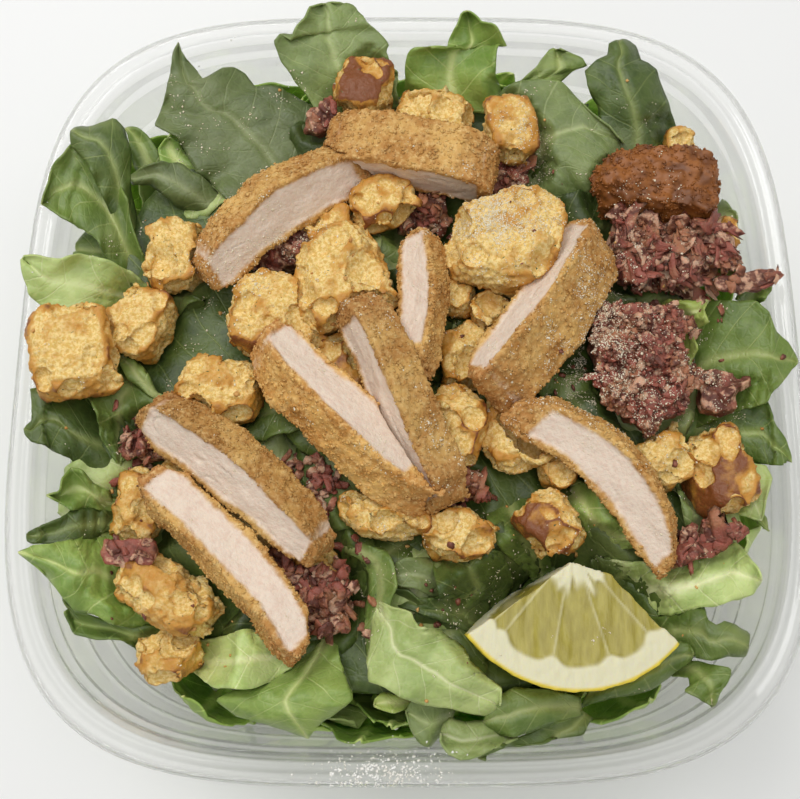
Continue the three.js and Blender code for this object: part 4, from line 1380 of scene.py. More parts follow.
class Tone(Enum):
    """Kinds of leaf: name, blade, darker blade, vein."""

    SAGE = ("sage", srgb(120, 134, 78), srgb(96, 111, 60), srgb(156, 166, 114))
    MID = ("mid", srgb(112, 133, 58), srgb(86, 108, 42), srgb(164, 174, 106))
    BRIGHT = ("bright", srgb(134, 154, 76), srgb(104, 130, 54), srgb(180, 190, 122))
    DARK = ("dark", srgb(88, 106, 46), srgb(64, 83, 33), srgb(140, 152, 88))
    PALE = ("pale", srgb(182, 196, 124), srgb(154, 174, 98), srgb(214, 220, 166))
    LIME = ("lime", srgb(176, 190, 98), srgb(150, 168, 76), srgb(204, 210, 140))

    def finish(self) -> LeafFinish:
        """The tone's finish."""
        name, blade, dark, vein = self.value
        return LeafFinish("leaf_" + name, blade, dark, vein)


class Side(Enum):
    """How wide one side of a loose leaf is, from its base to its tip."""

    EVEN = (0.9, 1, 1, 1, 0.95, 0.6)
    TORN = (0.8, 1, 0.7, 1, 0.8, 0.35)
    PADDLE = (0.4, 0.65, 0.9, 1, 0.95, 0.4)

    @classmethod
    def pair(cls, number: int, half: float) -> list[tuple["Side", float]]:
        """The left and right side of a leaf, with their half-widths, from its number."""
        sides = list(cls)
        return [(sides[(number + step) % len(sides)], half) for step in (0, 1)]


@dataclass(frozen=True)
class Leaf:
    """A showing leaf: the heights of its base, middle and tip, the left edge from base to tip and
    the right one up to that tip as the camera sees them, right and down in pixels of its 800 by
    799 picture, the rise of both edges, and the height and count of the ripples."""

    tone: Tone
    heights: tuple[float, float, float]
    left: tuple[float, ...]
    right: tuple[float, ...]
    rise: tuple[float, float] = (0, 0)
    ripple: tuple[float, float] = (0.5, 2)
    # Brightness factor of the leaf's colour: partly its own tone, partly painted light and shade.
    light: float = 1.0
    rib: float = 0.9
    puff: float = 0.25


@dataclass(frozen=True)
class LooseLeaf:
    """A leaf mostly hidden: its curved spine from base to tip, the shape and half-width of both
    sides, the rise of both edges, the ripples along them, and the way that it faces."""

    tone: Tone
    spine: tuple
    left: tuple[Side, float]
    right: tuple[Side, float]
    rise: tuple[float, float] = (0, 0)
    ripple: tuple[float, float] = (0.5, 2)
    face: tuple[float, float, float] = (0, 0, 1)
    # Brightness factor of the leaf's colour: partly its own tone, partly painted light and shade.
    light: float = 1.0
    rib: float = 0.9
    puff: float = 0.25


def layered(points: np.ndarray, layers: tuple[tuple[float, float], ...], seed: int) -> list[np.ndarray]:
    """Layers of noise, each with its own height and size.

    Args:
        points: n by 3 places.
        layers: height and size of each.
        seed: the first layer's random field; the others follow.

    Returns:
        The n values of each layer.
    """
    return [height * noise(points / size, seed + i) for i, (height, size) in enumerate(layers)]


@dataclass
class Blade:
    """A leaf's grid laid flat, each point with its share of the length and of the width and the
    leaf's half-width there, and the form that its surface takes."""

    leaf: Leaf | LooseLeaf
    number: int
    length: float
    share: np.ndarray
    across: np.ndarray
    half: np.ndarray
    vein_spacing: float
    vein_slant: float = 0.9
    tears: tuple[tuple[float, float], ...] = ((0.7, 5), (0.45, 1.7))
    rolls: tuple[tuple[float, float], ...] = ((1.5, 12), (0.6, 5))
    creases: tuple[tuple[float, float], ...] = ((0.9, 6.5), (0.4, 2.8))
    pillow: float = 0.16
    rib_depth: float = 0.4
    frill: tuple[float, float] = (1.5, 3.6)

    def __post_init__(self) -> None:
        """Measures each point in millimetres from the base and from the rib, and by the veins."""
        self.u, self.v = self.share * self.length, self.across * self.half
        self.sign = np.where(self.across > 0, 1, -1)
        self.own = np.stack([self.u, self.v, 0 * self.u + self.number * 13], axis=1)
        self.rib = np.exp(-((self.v / (self.leaf.rib * (1.5 - self.share))) ** 2))
        bent = self.u - self.vein_slant * np.abs(self.v) + 1.6 * noise(self.own / 8, 56)
        self.phase = bent / self.vein_spacing + self.number * 0.37

    def torn(self) -> np.ndarray:
        """How far out or in the torn edge goes."""
        edge = np.stack([self.u, 7 * (self.across > 0), 0 * self.share + self.number * 9], axis=1)
        return sum(layered(edge, self.tears, 52)) * np.abs(self.across) ** 3

    def lift(self) -> np.ndarray:
        """The broad form of the blade.

        Returns:
            Heights of its risen edges, ripples, rolls and frill, in millimetres.
        """
        tall, often = self.leaf.ripple
        rise = np.where(self.across > 0, *self.leaf.rise) * self.across**2
        wave = tall * np.abs(self.across) * np.sin(2 * math.pi * often * self.share + 1.7 * self.sign)
        rolling = sum(layered(self.own, self.rolls, 54))
        height, size = self.frill
        edge = np.stack([self.u / size, 9.0 * self.sign, 0 * self.u + self.number], axis=1)
        return rise + wave + rolling + height * self.across**4 * noise(edge, 61)

    def relief(self) -> np.ndarray:
        """The fine form of the blade.

        Returns:
            Heights of its veins, blisters and creases, in millimetres.
        """
        between = np.abs(self.phase - np.floor(self.phase) - 0.5) * 2
        blister = self.leaf.puff * np.maximum(0.55 - grains(self.own / 3.6, 57), 0) + 0.12 * noise(self.own / 1.8, 58)
        crease = sum(np.abs(layer) for layer in layered(self.own, self.creases, 59))
        return self.pillow * between + (blister + crease) * (1 - self.rib) - self.rib_depth * self.rib


@dataclass
class Heights:
    """Room below the toppings over a grid of 1 mm cells."""

    half: int = 104
    slope: float = 1.3
    reach: int = 10

    def __post_init__(self) -> None:
        """Measures every topping."""
        side = 2 * self.half + 1
        self.ceiling = np.full((side, side), np.inf)
        for name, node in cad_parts.items():
            if name not in ("bowl", "lettuce"):
                points = self.samples(node.data)
                np.minimum.at(self.ceiling, self.cells(points), points[:, 2])
        for _ in range(self.reach):
            for step in ((0, 1), (0, -1), (1, 0), (-1, 0)):
                moved = np.roll(self.ceiling, step, axis=(0, 1)) + self.slope
                self.ceiling = np.minimum(self.ceiling, moved)

    @staticmethod
    def samples(mesh: Mesh, step: float = 0.6) -> np.ndarray:
        """Points spread over a mesh's triangles.

        Args:
            mesh: the mesh.
            step: the greatest way between them, in millimetres.

        Returns:
            n by 3 places in millimetres.
        """
        mesh.calc_loop_triangles()
        index = np.empty(len(mesh.loop_triangles) * 3, np.int64)
        mesh.loop_triangles.foreach_get("vertices", index)
        corners = points_of(mesh)[index.reshape(-1, 3)]
        longest = np.linalg.norm(corners - np.roll(corners, 1, axis=1), axis=2).max(axis=1)
        counts = np.maximum(np.ceil(longest / step), 1).astype(int)
        found = []
        for count in np.unique(counts):
            share = [(i / count, j / count) for i in range(count + 1) for j in range(count + 1 - i)]
            s, t = np.array(share).T[:, None, :, None]
            a, b, c = (corners[counts == count][:, k][:, None, :] for k in range(3))
            found.append((a + s * (b - a) + t * (c - a)).reshape(-1, 3))
        return np.concatenate(found)

    def cells(self, points: np.ndarray) -> tuple[np.ndarray, np.ndarray]:
        """The grid cells that hold points."""
        index = np.clip(np.rint(points[:, :2]).astype(int) + self.half, 0, 2 * self.half)
        return index[:, 0], index[:, 1]


SHOWING_LEAVES = (
    Leaf(
        Tone.LIME, (52, 59, 61),
        (652, 345, 656, 320, 662, 302, 672, 297, 690, 299, 709, 300),
        (665, 385, 688, 372, 697, 350, 690, 330, 708, 323, 703, 311),
        rise=(2, 1), ripple=(1.2, 2), puff=0.7, light=0.9,
    ),
    Leaf(
        Tone.SAGE, (50, 57, 59),
        (240, 210, 199, 175, 178, 138, 155, 127, 165, 100, 170, 70, 178, 42),
        (335, 160, 318, 110, 300, 100, 281, 88, 265, 86, 255, 88, 246, 76, 232, 68, 222, 69, 212, 77, 207, 83,
         200, 77, 190, 65, 182, 53),
        rise=(1, -2), light=0.77,
    ),
    Leaf(
        Tone.SAGE, (52, 62, 65),
        (320, 120, 305, 95, 293, 80, 280, 60, 275, 42, 281, 35, 291, 41, 296, 28, 303, 22, 309, 8, 325, 3),
        (400, 110, 397, 90, 398, 73, 392, 68, 386, 52, 389, 46, 380, 36, 368, 22, 355, 8, 338, 3),
        rise=(3, 0), light=1.3,
    ),
    Leaf(
        Tone.BRIGHT, (52, 60, 63),
        (420, 112, 405, 95, 404, 72, 409, 52, 415, 49, 446, 50, 450, 38, 457, 26, 461, 14, 467, 10),
        (500, 115, 500, 90, 495, 75, 497, 55, 498, 46, 505, 48, 500, 36, 494, 28, 485, 24, 476, 17),
        rise=(3, 5), ripple=(2.2, 2), puff=0.6, light=1.2,
    ),
    Leaf(
        Tone.MID, (50, 54, 56),
        (500, 108, 500, 92, 524, 80, 537, 66, 548, 52, 556, 49),
        (565, 110, 558, 85, 570, 73, 586, 68, 582, 61, 568, 54),
        light=1.13,
    ),
    Leaf(
        Tone.DARK, (50, 60, 61),
        (615, 190, 600, 150, 598, 110, 587, 88, 584, 72, 595, 62, 607, 57, 609, 46, 619, 40),
        (668, 180, 672, 145, 676, 130, 670, 110, 662, 88, 655, 70, 640, 60, 636, 48, 628, 41),
        rise=(-2, -4), light=0.93,
    ),
    Leaf(
        Tone.SAGE, (50, 58, 56),
        (500, 205, 497, 160, 497, 95, 515, 83, 535, 82, 560, 82, 590, 112, 610, 128, 624, 143),
        (560, 220, 570, 207, 583, 200, 596, 187, 600, 178, 612, 165, 618, 155),
        rise=(1, -3), light=1.17,
    ),
    Leaf(
        Tone.MID, (48, 56, 60),
        (128, 290, 122, 275, 110, 262, 97, 240, 66, 220, 41, 204),
        (150, 270, 133, 230, 128, 200, 115, 175, 100, 160, 85, 145, 72, 143, 60, 158, 53, 165, 48, 185),
        rise=(1, 3), rib=1.2,
    ),
    Leaf(
        Tone.DARK, (50, 60, 62),
        (125, 245, 105, 200, 90, 170, 72, 145, 71, 130),
        (140, 230, 131, 190, 131, 150, 124, 130, 114, 120, 95, 126),
        rise=(-1, -3), light=1.04,
    ),
    Leaf(
        Tone.MID, (48, 51, 53),
        (140, 180, 133, 160, 129, 140, 125, 128),
        (168, 172, 156, 150, 146, 135, 138, 129),
        light=1.12,
    ),
    Leaf(
        Tone.BRIGHT, (48, 51, 53),
        (185, 182, 160, 162, 157, 150, 169, 137),
        (200, 176, 192, 160, 181, 144),
        light=1.45,
    ),
    Leaf(
        Tone.SAGE, (50, 56, 54),
        (210, 217, 175, 206, 152, 186, 134, 186, 128, 178),
        (228, 200, 212, 188, 200, 175, 180, 164, 160, 162, 145, 167),
        rise=(-3, 0), light=0.8,
    ),
    Leaf(
        Tone.PALE, (48, 58, 60),
        (160, 320, 135, 315, 120, 318, 80, 315, 45, 310, 30, 298, 24, 275, 22, 258),
        (168, 305, 150, 288, 130, 272, 112, 262, 97, 258, 80, 255, 60, 260, 40, 257),
        rise=(0, 2), ripple=(1.0, 2), rib=0.5, light=1.03,
    ),
    Leaf(
        Tone.DARK, (48, 55, 57),
        (120, 500, 100, 490, 85, 478, 71, 458, 55, 452, 46, 446, 33, 445, 26, 437, 24, 428),
        (115, 400, 85, 398, 60, 393, 45, 383, 35, 384, 31, 390, 34, 420),
        rise=(-3, -2), ripple=(1.2, 1.5), light=0.87,
    ),
    Leaf(
        Tone.MID, (50, 56, 52),
        (158, 395, 150, 420, 142, 440, 128, 460, 120, 467),
        (108, 352, 98, 375, 90, 380, 87, 398, 98, 415, 100, 435, 112, 455),
        rise=(0, 3), light=0.92,
    ),
    Leaf(
        Tone.BRIGHT, (50, 54, 52),
        (172, 398, 157, 392, 150, 378, 138, 362, 122, 355),
        (165, 405, 148, 395, 140, 388, 128, 378, 118, 360),
        light=0.95,
    ),
    Leaf(
        Tone.BRIGHT, (48, 53, 53),
        (115, 515, 90, 508, 72, 511, 62, 504, 46, 495),
        (110, 490, 95, 485, 82, 470, 71, 468, 63, 478, 60, 492),
        rise=(2, 4), ripple=(1.6, 2), puff=0.6, light=1.05,
    ),
    Leaf(
        Tone.DARK, (48, 55, 55),
        (115, 530, 90, 540, 60, 543, 35, 545, 29, 543, 26, 534),
        (118, 512, 90, 509, 72, 511, 60, 520, 40, 526),
        rise=(-1, 0), light=0.83,
    ),
    Leaf(
        Tone.BRIGHT, (48, 58, 60),
        (178, 600, 168, 612, 160, 625, 140, 628, 115, 626, 95, 615, 75, 610, 65, 600, 55, 585, 45, 575, 30, 562,
         18, 552),
        (165, 570, 140, 550, 120, 535, 95, 525, 80, 540, 50, 543, 35, 545),
        rise=(-3, -1), ripple=(1.2, 3), puff=1.0, light=1.27,
    ),
    Leaf(
        Tone.DARK, (42, 45, 46),
        (195, 640, 160, 650, 145, 653, 130, 645, 118, 640, 95, 638, 52, 632, 48, 622),
        (190, 610, 160, 625, 120, 622, 95, 616, 75, 610, 68, 605, 55, 600, 51, 608),
        rise=(2, 0), light=1.4,
    ),
    Leaf(
        Tone.PALE, (52, 62, 61),
        (292, 668, 275, 680, 255, 687, 235, 690, 215, 688, 200, 680, 190, 670, 178, 660),
        (282, 640, 250, 630, 235, 632, 215, 636, 195, 640, 183, 650),
        rise=(-1, 2), ripple=(1.4, 2.5), rib=0.5, light=1.3,
    ),
    Leaf(
        Tone.BRIGHT, (47, 59, 52),
        (338, 632, 340, 660, 346, 680, 354, 700, 335, 713, 322, 722, 308, 738),
        (315, 638, 300, 660, 270, 680, 235, 690, 216, 700, 236, 715, 262, 722, 287, 730),
        rise=(-2, -4), light=1.2,
    ),
    Leaf(
        Tone.BRIGHT, (48, 57, 52),
        (330, 526, 350, 538, 370, 546, 385, 550, 394, 565, 397, 585, 390, 610, 380, 640, 372, 660),
        (328, 540, 345, 552, 358, 560, 368, 575, 366, 600, 364, 630, 367, 655),
        rise=(1, -2), light=0.8,
    ),
    Leaf(
        Tone.PALE, (56, 63, 57),
        (377, 600, 395, 608, 412, 612, 418, 626, 440, 630, 462, 645, 470, 662, 485, 675, 502, 688, 500, 706),
        (376, 601, 371, 615, 371, 640, 368, 660, 369, 682, 385, 688, 400, 698, 425, 705, 450, 709, 472, 714,
         490, 716),
        rise=(2, -3), ripple=(1.0, 3), puff=1.1, rib=0.6, light=0.98,
    ),
    Leaf(
        Tone.DARK, (48, 60, 65),
        (425, 640, 415, 615, 418, 600, 440, 598, 435, 575, 433, 562, 440, 545, 448, 530, 455, 524),
        (520, 640, 500, 610, 513, 588, 515, 578, 500, 552, 488, 551, 475, 545, 465, 530),
        rise=(-2, -3), light=0.97,
    ),
    Leaf(
        Tone.SAGE, (48, 55, 54),
        (452, 602, 430, 597, 415, 590, 400, 587, 392, 577),
        (452, 565, 425, 559, 405, 559, 394, 566),
        rise=(1, 1), light=0.9,
    ),
    Leaf(
        Tone.DARK, (46, 53, 52),
        (490, 640, 450, 625, 415, 612, 398, 607, 387, 600),
        (490, 600, 450, 598, 418, 598, 408, 590, 393, 587),
        rise=(0, 2), light=0.86,
    ),
    Leaf(
        Tone.LIME, (50, 55, 54),
        (415, 703, 403, 711, 394, 713, 385, 710, 374, 706),
        (412, 693, 395, 696, 383, 692, 374, 697),
        puff=0.8,
    ),
    Leaf(
        Tone.PALE, (50, 56, 54),
        (518, 738, 495, 748, 478, 757, 460, 760, 448, 755, 440, 742, 441, 733),
        (512, 726, 485, 722, 465, 722, 450, 718, 443, 725),
        rise=(3, -2), rib=0.4, light=0.65,
    ),
    Leaf(
        Tone.SAGE, (48, 53, 52),
        (450, 728, 440, 735, 428, 748, 418, 742, 410, 728, 406, 712),
        (455, 708, 440, 702, 425, 700, 412, 700),
        rise=(0, 2), light=1.3,
    ),
    Leaf(
        Tone.BRIGHT, (48, 55, 53),
        (582, 715, 560, 722, 540, 728, 515, 738, 500, 735, 482, 722),
        (580, 698, 545, 688, 515, 688, 492, 700),
        rise=(-2, 0), light=0.75,
    ),
    Leaf(
        Tone.MID, (46, 51, 53),
        (592, 718, 580, 738, 564, 743, 560, 752, 562, 766, 540, 766, 515, 762, 498, 765, 478, 758),
        (582, 710, 560, 720, 535, 730, 510, 740, 490, 750),
        rise=(0, 1), light=0.75,
    ),
    Leaf(
        Tone.MID, (48, 55, 55),
        (600, 676, 630, 672, 655, 652, 675, 641, 688, 642, 694, 655),
        (575, 712, 590, 704, 610, 698, 640, 693, 655, 687, 670, 676, 685, 666),
        rise=(0, -3), light=0.87,
    ),
    Leaf(
        Tone.MID, (48, 58, 57),
        (640, 618, 660, 617, 680, 612, 692, 606, 704, 608, 707, 620, 716, 625, 722, 621, 735, 624, 749, 634,
         748, 648),
        (660, 652, 685, 648, 695, 657, 712, 661, 728, 655, 745, 656),
        rise=(-1, -2), light=0.8,
    ),
    Leaf(
        Tone.MID, (48, 55, 52),
        (680, 662, 695, 660, 712, 665, 730, 668, 731, 675, 722, 690, 713, 709),
        (672, 675, 688, 678, 690, 686, 683, 691, 696, 697),
        light=0.92,
    ),
    Leaf(
        Tone.PALE, (48, 58, 59),
        (608, 560, 640, 562, 670, 565, 700, 560, 720, 548, 735, 542, 745, 552, 757, 568, 762, 580),
        (620, 600, 650, 617, 680, 613, 700, 607, 720, 606, 738, 600, 752, 595),
        rise=(2, -2), ripple=(0.8, 2), rib=1.2, light=1.18,
    ),
    Leaf(
        Tone.SAGE, (47, 56, 54),
        (708, 560, 712, 520, 702, 495, 692, 470),
        (690, 570, 686, 530, 680, 505, 674, 478),
        rise=(1, 1), light=1.4,
    ),
    Leaf(
        Tone.PALE, (47, 54, 52),
        (700, 500, 725, 505, 740, 515, 755, 520, 762, 520),
        (720, 468, 745, 462, 765, 466, 771, 478, 765, 500),
        rise=(1, 0),
    ),
    Leaf(
        Tone.MID, (47, 51, 50),
        (742, 512, 752, 520, 762, 528, 770, 531),
        (748, 500, 760, 510, 767, 520),
        light=1.1,
    ),
    Leaf(
        Tone.MID, (48, 58, 59),
        (680, 335, 695, 312, 705, 302, 725, 301, 755, 301, 768, 312, 774, 332, 787, 342, 798, 362),
        (690, 430, 715, 420, 740, 410, 766, 402, 772, 392, 784, 380),
        rise=(0, 2), rib=1.1, light=0.98,
    ),
    Leaf(
        Tone.MID, (50, 57, 58),
        (735, 300, 742, 290, 748, 282, 757, 278, 768, 281),
        (762, 305, 766, 298, 772, 292, 772, 284),
        rise=(3, 1), light=1.2,
    ),
    Leaf(
        Tone.DARK, (48, 55, 54),
        (700, 425, 735, 410, 766, 402, 775, 425, 785, 440, 792, 462),
        (735, 475, 745, 457, 760, 465, 775, 466),
        rise=(1, -2), light=1.3,
    ),
    Leaf(
        Tone.BRIGHT, (48, 59, 57),
        (575, 478, 592, 488, 606, 500, 620, 512, 632, 527, 646, 538),
        (562, 500, 573, 512, 580, 530, 586, 547, 605, 556, 622, 552, 636, 548),
        rise=(2, 1), ripple=(1.8, 3), puff=0.6, light=1.3,
    ),
    Leaf(
        Tone.MID, (48, 56, 54),
        (530, 488, 545, 520, 560, 560, 555, 577, 540, 588),
        (482, 500, 488, 530, 500, 550, 520, 567, 532, 580),
        rise=(-2, -1), light=0.87,
    ),
    Leaf(
        Tone.SAGE, (48, 53, 52),
        (722, 200, 735, 212, 738, 222),
        (705, 225, 722, 222),
        light=1.2,
    ),
    Leaf(
        Tone.MID, (48, 54, 53),
        (700, 258, 722, 261, 737, 264, 738, 276),
        (705, 272, 722, 280, 732, 280),
        rise=(1, 1),
    ),
)


@dataclass
class Lettuce:
    """The heap of torn leaves: the showing ones, some more between the toppings, and some upright
    against the wall."""

    bowl: Bowl
    heights: Heights
    studio: "Studio"
    cell: float = 0.9
    thickness: float = 0.45
    vein_spacing: float = 8.0
    vein_shift: float = 97.0
    fewest_cells: int = 6
    width_steps: int = 30
    filler: int = 70
    filler_reach: float = 74.0
    filler_step: tuple[float, float] = (10, 15)
    filler_half: tuple[float, float] = (6, 10)
    filler_painted_shade: tuple[float, float] = (62, 0.66)
    # Reach from the middle within which fillers are darkened, and the factor: painted shade between the toppings.
    gap: float = 1.2
    loose_cell: float = 1.15
    loose_gap: float = 2.8
    upright: int = 46
    upright_half: tuple[float, float] = (11, 17)
    # Brightness factors of the upright leaves, pale ones apart: painted light on leaves that get little light against
    # the wall.
    upright_painted_light: tuple[float, float] = (1.6, 2.4)
    upright_pale_painted_light: float = 1.3
    rings: tuple[float, float, int] = (1.6, 2.4, 3)
    corner_inset: float = 4.0
    lowest: float = 2.4
    wall_gap: float = 1.3
    rim_near: tuple[float, float] = (3, 2.6)
    rim_over: float = 2.2
    root_depth: float = 2.5
    core_width: float = 77.0
    core_floor: float = 1.2
    core_heights: tuple[float, float] = (50, 42)
    core_squareness: float = 2.7
    core_gap: float = 3.6
    core_steps: int = 200
    leaves: tuple[Leaf, ...] = SHOWING_LEAVES

    def build(self) -> None:
        """Makes the core and every leaf, one piece for each tone."""
        self.build_core()
        every = [*self.leaves, *self.filler_leaves(), *self.wall_leaves()]
        for tone in Tone:
            chosen = [(i, leaf) for i, leaf in enumerate(every) if leaf.tone is tone]
            self.build_tone(tone, chosen)

    def core_top(self, x: np.ndarray, y: np.ndarray) -> np.ndarray:
        """Height of the bare heap under the leaves.

        Args:
            x: places to the right.
            y: places away from the near side.

        Returns:
            The heights in millimetres.
        """
        x, y = (np.atleast_1d(part).astype(float) for part in (x, y))
        share = np.minimum(np.hypot(x, y) / self.core_width, 1.2) ** 3
        middle, edge = self.core_heights
        return middle + (edge - middle) * share + 1.6 * noise(np.stack([x / 13, y / 13, 0 * x], axis=1), 3)

    def filler_leaves(self) -> list[LooseLeaf]:
        """Small torn leaves lying on the core, seen in the gaps between the toppings; those near the middle are
        darkened as painted shade.

        Returns:
            The leaves.
        """
        random = np.random.default_rng(21)
        tones = [Tone.MID, Tone.DARK, Tone.BRIGHT, Tone.DARK, Tone.MID, Tone.PALE]
        leaves = []
        for i in range(self.filler):
            angle, out = random.uniform(0, 2 * math.pi), self.filler_reach * math.sqrt(random.uniform(0, 1))
            start = np.array([math.cos(angle), math.sin(angle)]) * out
            turn = random.uniform(0, 2 * math.pi)
            step = np.array([math.cos(turn), math.sin(turn)]) * random.uniform(*self.filler_step)
            level = float(self.core_top(*start)[0])
            middle, end = start + step, start + 2 * step + random.uniform(-4, 4, 2)
            spine = (tuple(start), (*middle, level + random.uniform(3, 7)), (*end, level + random.uniform(0, 5)))
            left, right = Side.pair(i, random.uniform(*self.filler_half))
            rise, ripple = tuple(random.uniform(-3, 3, 2)), (1.4, random.uniform(1.5, 3))
            # Painted shade: fillers within the given reach of the middle are darkened.
            light = self.filler_painted_shade[1] if out < self.filler_painted_shade[0] else 1.0
            leaves.append(LooseLeaf(tones[i % len(tones)], spine, left, right, rise, ripple, light=light))
        return leaves

    def wall_leaves(self) -> list[LooseLeaf]:
        """Leaves standing in rings against the inside of the wall, brightened with painted light.

        Returns:
            The leaves.
        """
        random = np.random.default_rng(7)
        tones = [Tone.MID, Tone.BRIGHT, Tone.PALE, Tone.MID, Tone.BRIGHT]
        first, between, count = self.rings
        leaves = []
        for i in range(self.upright):
            angle = (i + 0.4 * random.uniform()) / self.upright * 2 * math.pi
            face = np.array([math.cos(angle), math.sin(angle), 0])
            inset = first + between * (i % count) + self.corner_inset * abs(math.sin(2 * angle)) ** 3
            spine = []
            for z in (random.uniform(1.5, 4), random.uniform(20, 26), random.uniform(38, 50)):
                reach = (self.bowl.inner_size(np.array([z])) - inset) / self.bowl.plan_size(face[None])
                lean = face + np.array([-face[1], face[0], 0]) * random.uniform(-0.08, 0.08)
                spine.append((float(lean[0] * reach[0]), float(lean[1] * reach[0]), z))
            left, right = Side.pair(i, random.uniform(*self.upright_half))
            tone = tones[i % len(tones)]
            # Painted light: upright leaves are brightened.
            light = self.upright_pale_painted_light if tone is Tone.PALE else random.uniform(*self.upright_painted_light)
            shape = (tone, tuple(spine), left, right, (-3, -3), (1.3, 1.8))
            leaves.append(LooseLeaf(*shape, face=tuple(face), light=light))
        return leaves

    def build_core(self) -> None:
        """Makes the dark heap below the leaves, its lower part brightened with painted light."""
        width = self.core_width
        low, high = self.core_floor, self.core_heights[0]
        section = [(0, low), (width * 0.84, low), (width * 0.93, 8), (width * 0.97, 22), (width, 40)]
        section += [(width * share, high) for share in np.linspace(0.98, 0.02, 40)]
        mesh = turned([*section, (0, high)], self.core_steps)
        points = self.bowl.squared(points_of(mesh), self.core_squareness)
        fold = np.abs(noise(points / 9, 41)) * 3 + noise(points / 3.5, 42) * 0.7
        points += normals_of(mesh) * (1 - fold)[:, None] * (points[:, 2:] > 2)
        points[:, 2] = np.minimum(points[:, 2], self.heights.ceiling[self.heights.cells(points)] - self.core_gap)
        move_points(mesh, points)
        add_value(mesh, "rib", np.zeros(len(points)))
        # Painted light: the heap's colour grows up to 2.4 times brighter from 44 mm down to 34 mm, where little light
        # reaches.
        add_value(mesh, "light", 1 + 1.4 * smoothstep(44, 34, points[:, 2]))
        phase = (points[:, 0] + 0.6 * points[:, 1] + 3 * noise(points / 12, 43)) / self.vein_spacing
        add_vector(mesh, "leaf_place", np.stack([points[:, 0], points[:, 1], phase], axis=1))
        thing = piece("lettuce_core", mesh, Tone.DARK.finish().material(), "leaf")
        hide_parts("lettuce")

    def build_tone(self, tone: Tone, chosen: list[tuple[int, Leaf | LooseLeaf]]) -> None:
        """Makes one piece of all leaves of a tone.

        Args:
            tone: the leaves' tone.
            chosen: number and leaf of each.
        """
        shape = bmesh.new()
        found = [self.leaf_points(shape, leaf, number) for number, leaf in chosen]
        mesh = finished(shape, "leaves")
        points, ribs, places, lights = (np.concatenate(part) for part in zip(*found))
        move_points(mesh, points)
        add_value(mesh, "rib", ribs)
        add_vector(mesh, "leaf_place", places)
        # Each leaf's light factor: its own tone together with painted light and shade.
        add_value(mesh, "light", lights)
        thing = piece("lettuce_" + tone.value[0], mesh, tone.finish().material(), "leaf")
        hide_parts("lettuce")
        solid = thing.modifiers.new("thickness", "SOLIDIFY")
        solid.thickness = self.thickness * MM
        solid.offset = 0

    def leaf_points(self, shape: bmesh.types.BMesh, leaf: Leaf | LooseLeaf, number: int) -> tuple:
        """Adds a leaf's grid and works out where its points go.

        Args:
            shape: the mesh that the grid joins.
            leaf: the leaf.
            number: its number, for chance.

        Returns:
            The places in millimetres, the rib mask, the leaf's own coordinates and its lightness, partly painted
            light and shade.
        """
        lay = self.lay_showing if isinstance(leaf, Leaf) else self.lay_loose
        blade, place = lay(shape, leaf, number)
        coordinates = np.stack([blade.u + self.vein_shift * number, blade.v, blade.phase], axis=1)
        return place, blade.rib, coordinates, 0 * blade.u + leaf.light

    def flat_grid(self, shape: bmesh.types.BMesh, reach: tuple[float, float], cell: float) -> tuple:
        """Adds a leaf's grid, still flat.

        Args:
            shape: the mesh that the grid joins.
            reach: the leaf's length and width in millimetres.
            cell: the size of the grid's cells in millimetres.

        Returns:
            Each point's share of the length, from 0 to 1, and of the width, from -1 to 1.
        """
        counts = [max(int(part / cell), self.fewest_cells) for part in reach]
        grid = bmesh.ops.create_grid(shape, x_segments=counts[0], y_segments=counts[1], size=1.0)
        flat = np.array([v.co[:2] for v in grid["verts"]])
        return (flat[:, 0] + 1) / 2, flat[:, 1]

    def lay_showing(self, shape: bmesh.types.BMesh, leaf: Leaf, number: int) -> tuple[Blade, np.ndarray]:
        """Lays a showing leaf between its two edges.

        Args:
            shape: the mesh that its grid joins.
            leaf: the leaf.
            number: its number, for chance.

        Returns:
            The leaf's blade and the places of its points in millimetres.
        """
        left, right = (traced(edge) for edge in (leaf.left, leaf.right + leaf.left[-2:]))
        scale = self.studio.distance / self.studio.focal
        length = (left.length + right.length) / 2 * scale
        steps = np.linspace(0, 1, self.width_steps)
        wide = float(np.linalg.norm(left.at(steps) - right.at(steps), axis=1).max()) * scale
        share, across = self.flat_grid(shape, (length, wide), self.cell)
        half = np.linalg.norm(left.at(share) - right.at(share), axis=1) / 2 * scale
        blade = Blade(leaf, number, length, share, across, half, self.vein_spacing)
        reach = across * (1 + 0.5 * blade.torn() / np.maximum(half, 2))
        pixels = right.at(share) + (left.at(share) - right.at(share)) * ((1 + reach) / 2)[:, None]
        level = curved(np.array(leaf.heights)[:, None], share[:, None])[:, 0]
        place = self.clear(self.studio.seen(pixels, level + blade.lift()), self.gap)
        place = self.studio.seen(pixels, place[:, 2])
        return blade, self.clear(place, self.gap) + np.array([0, 0, 1]) * blade.relief()[:, None]

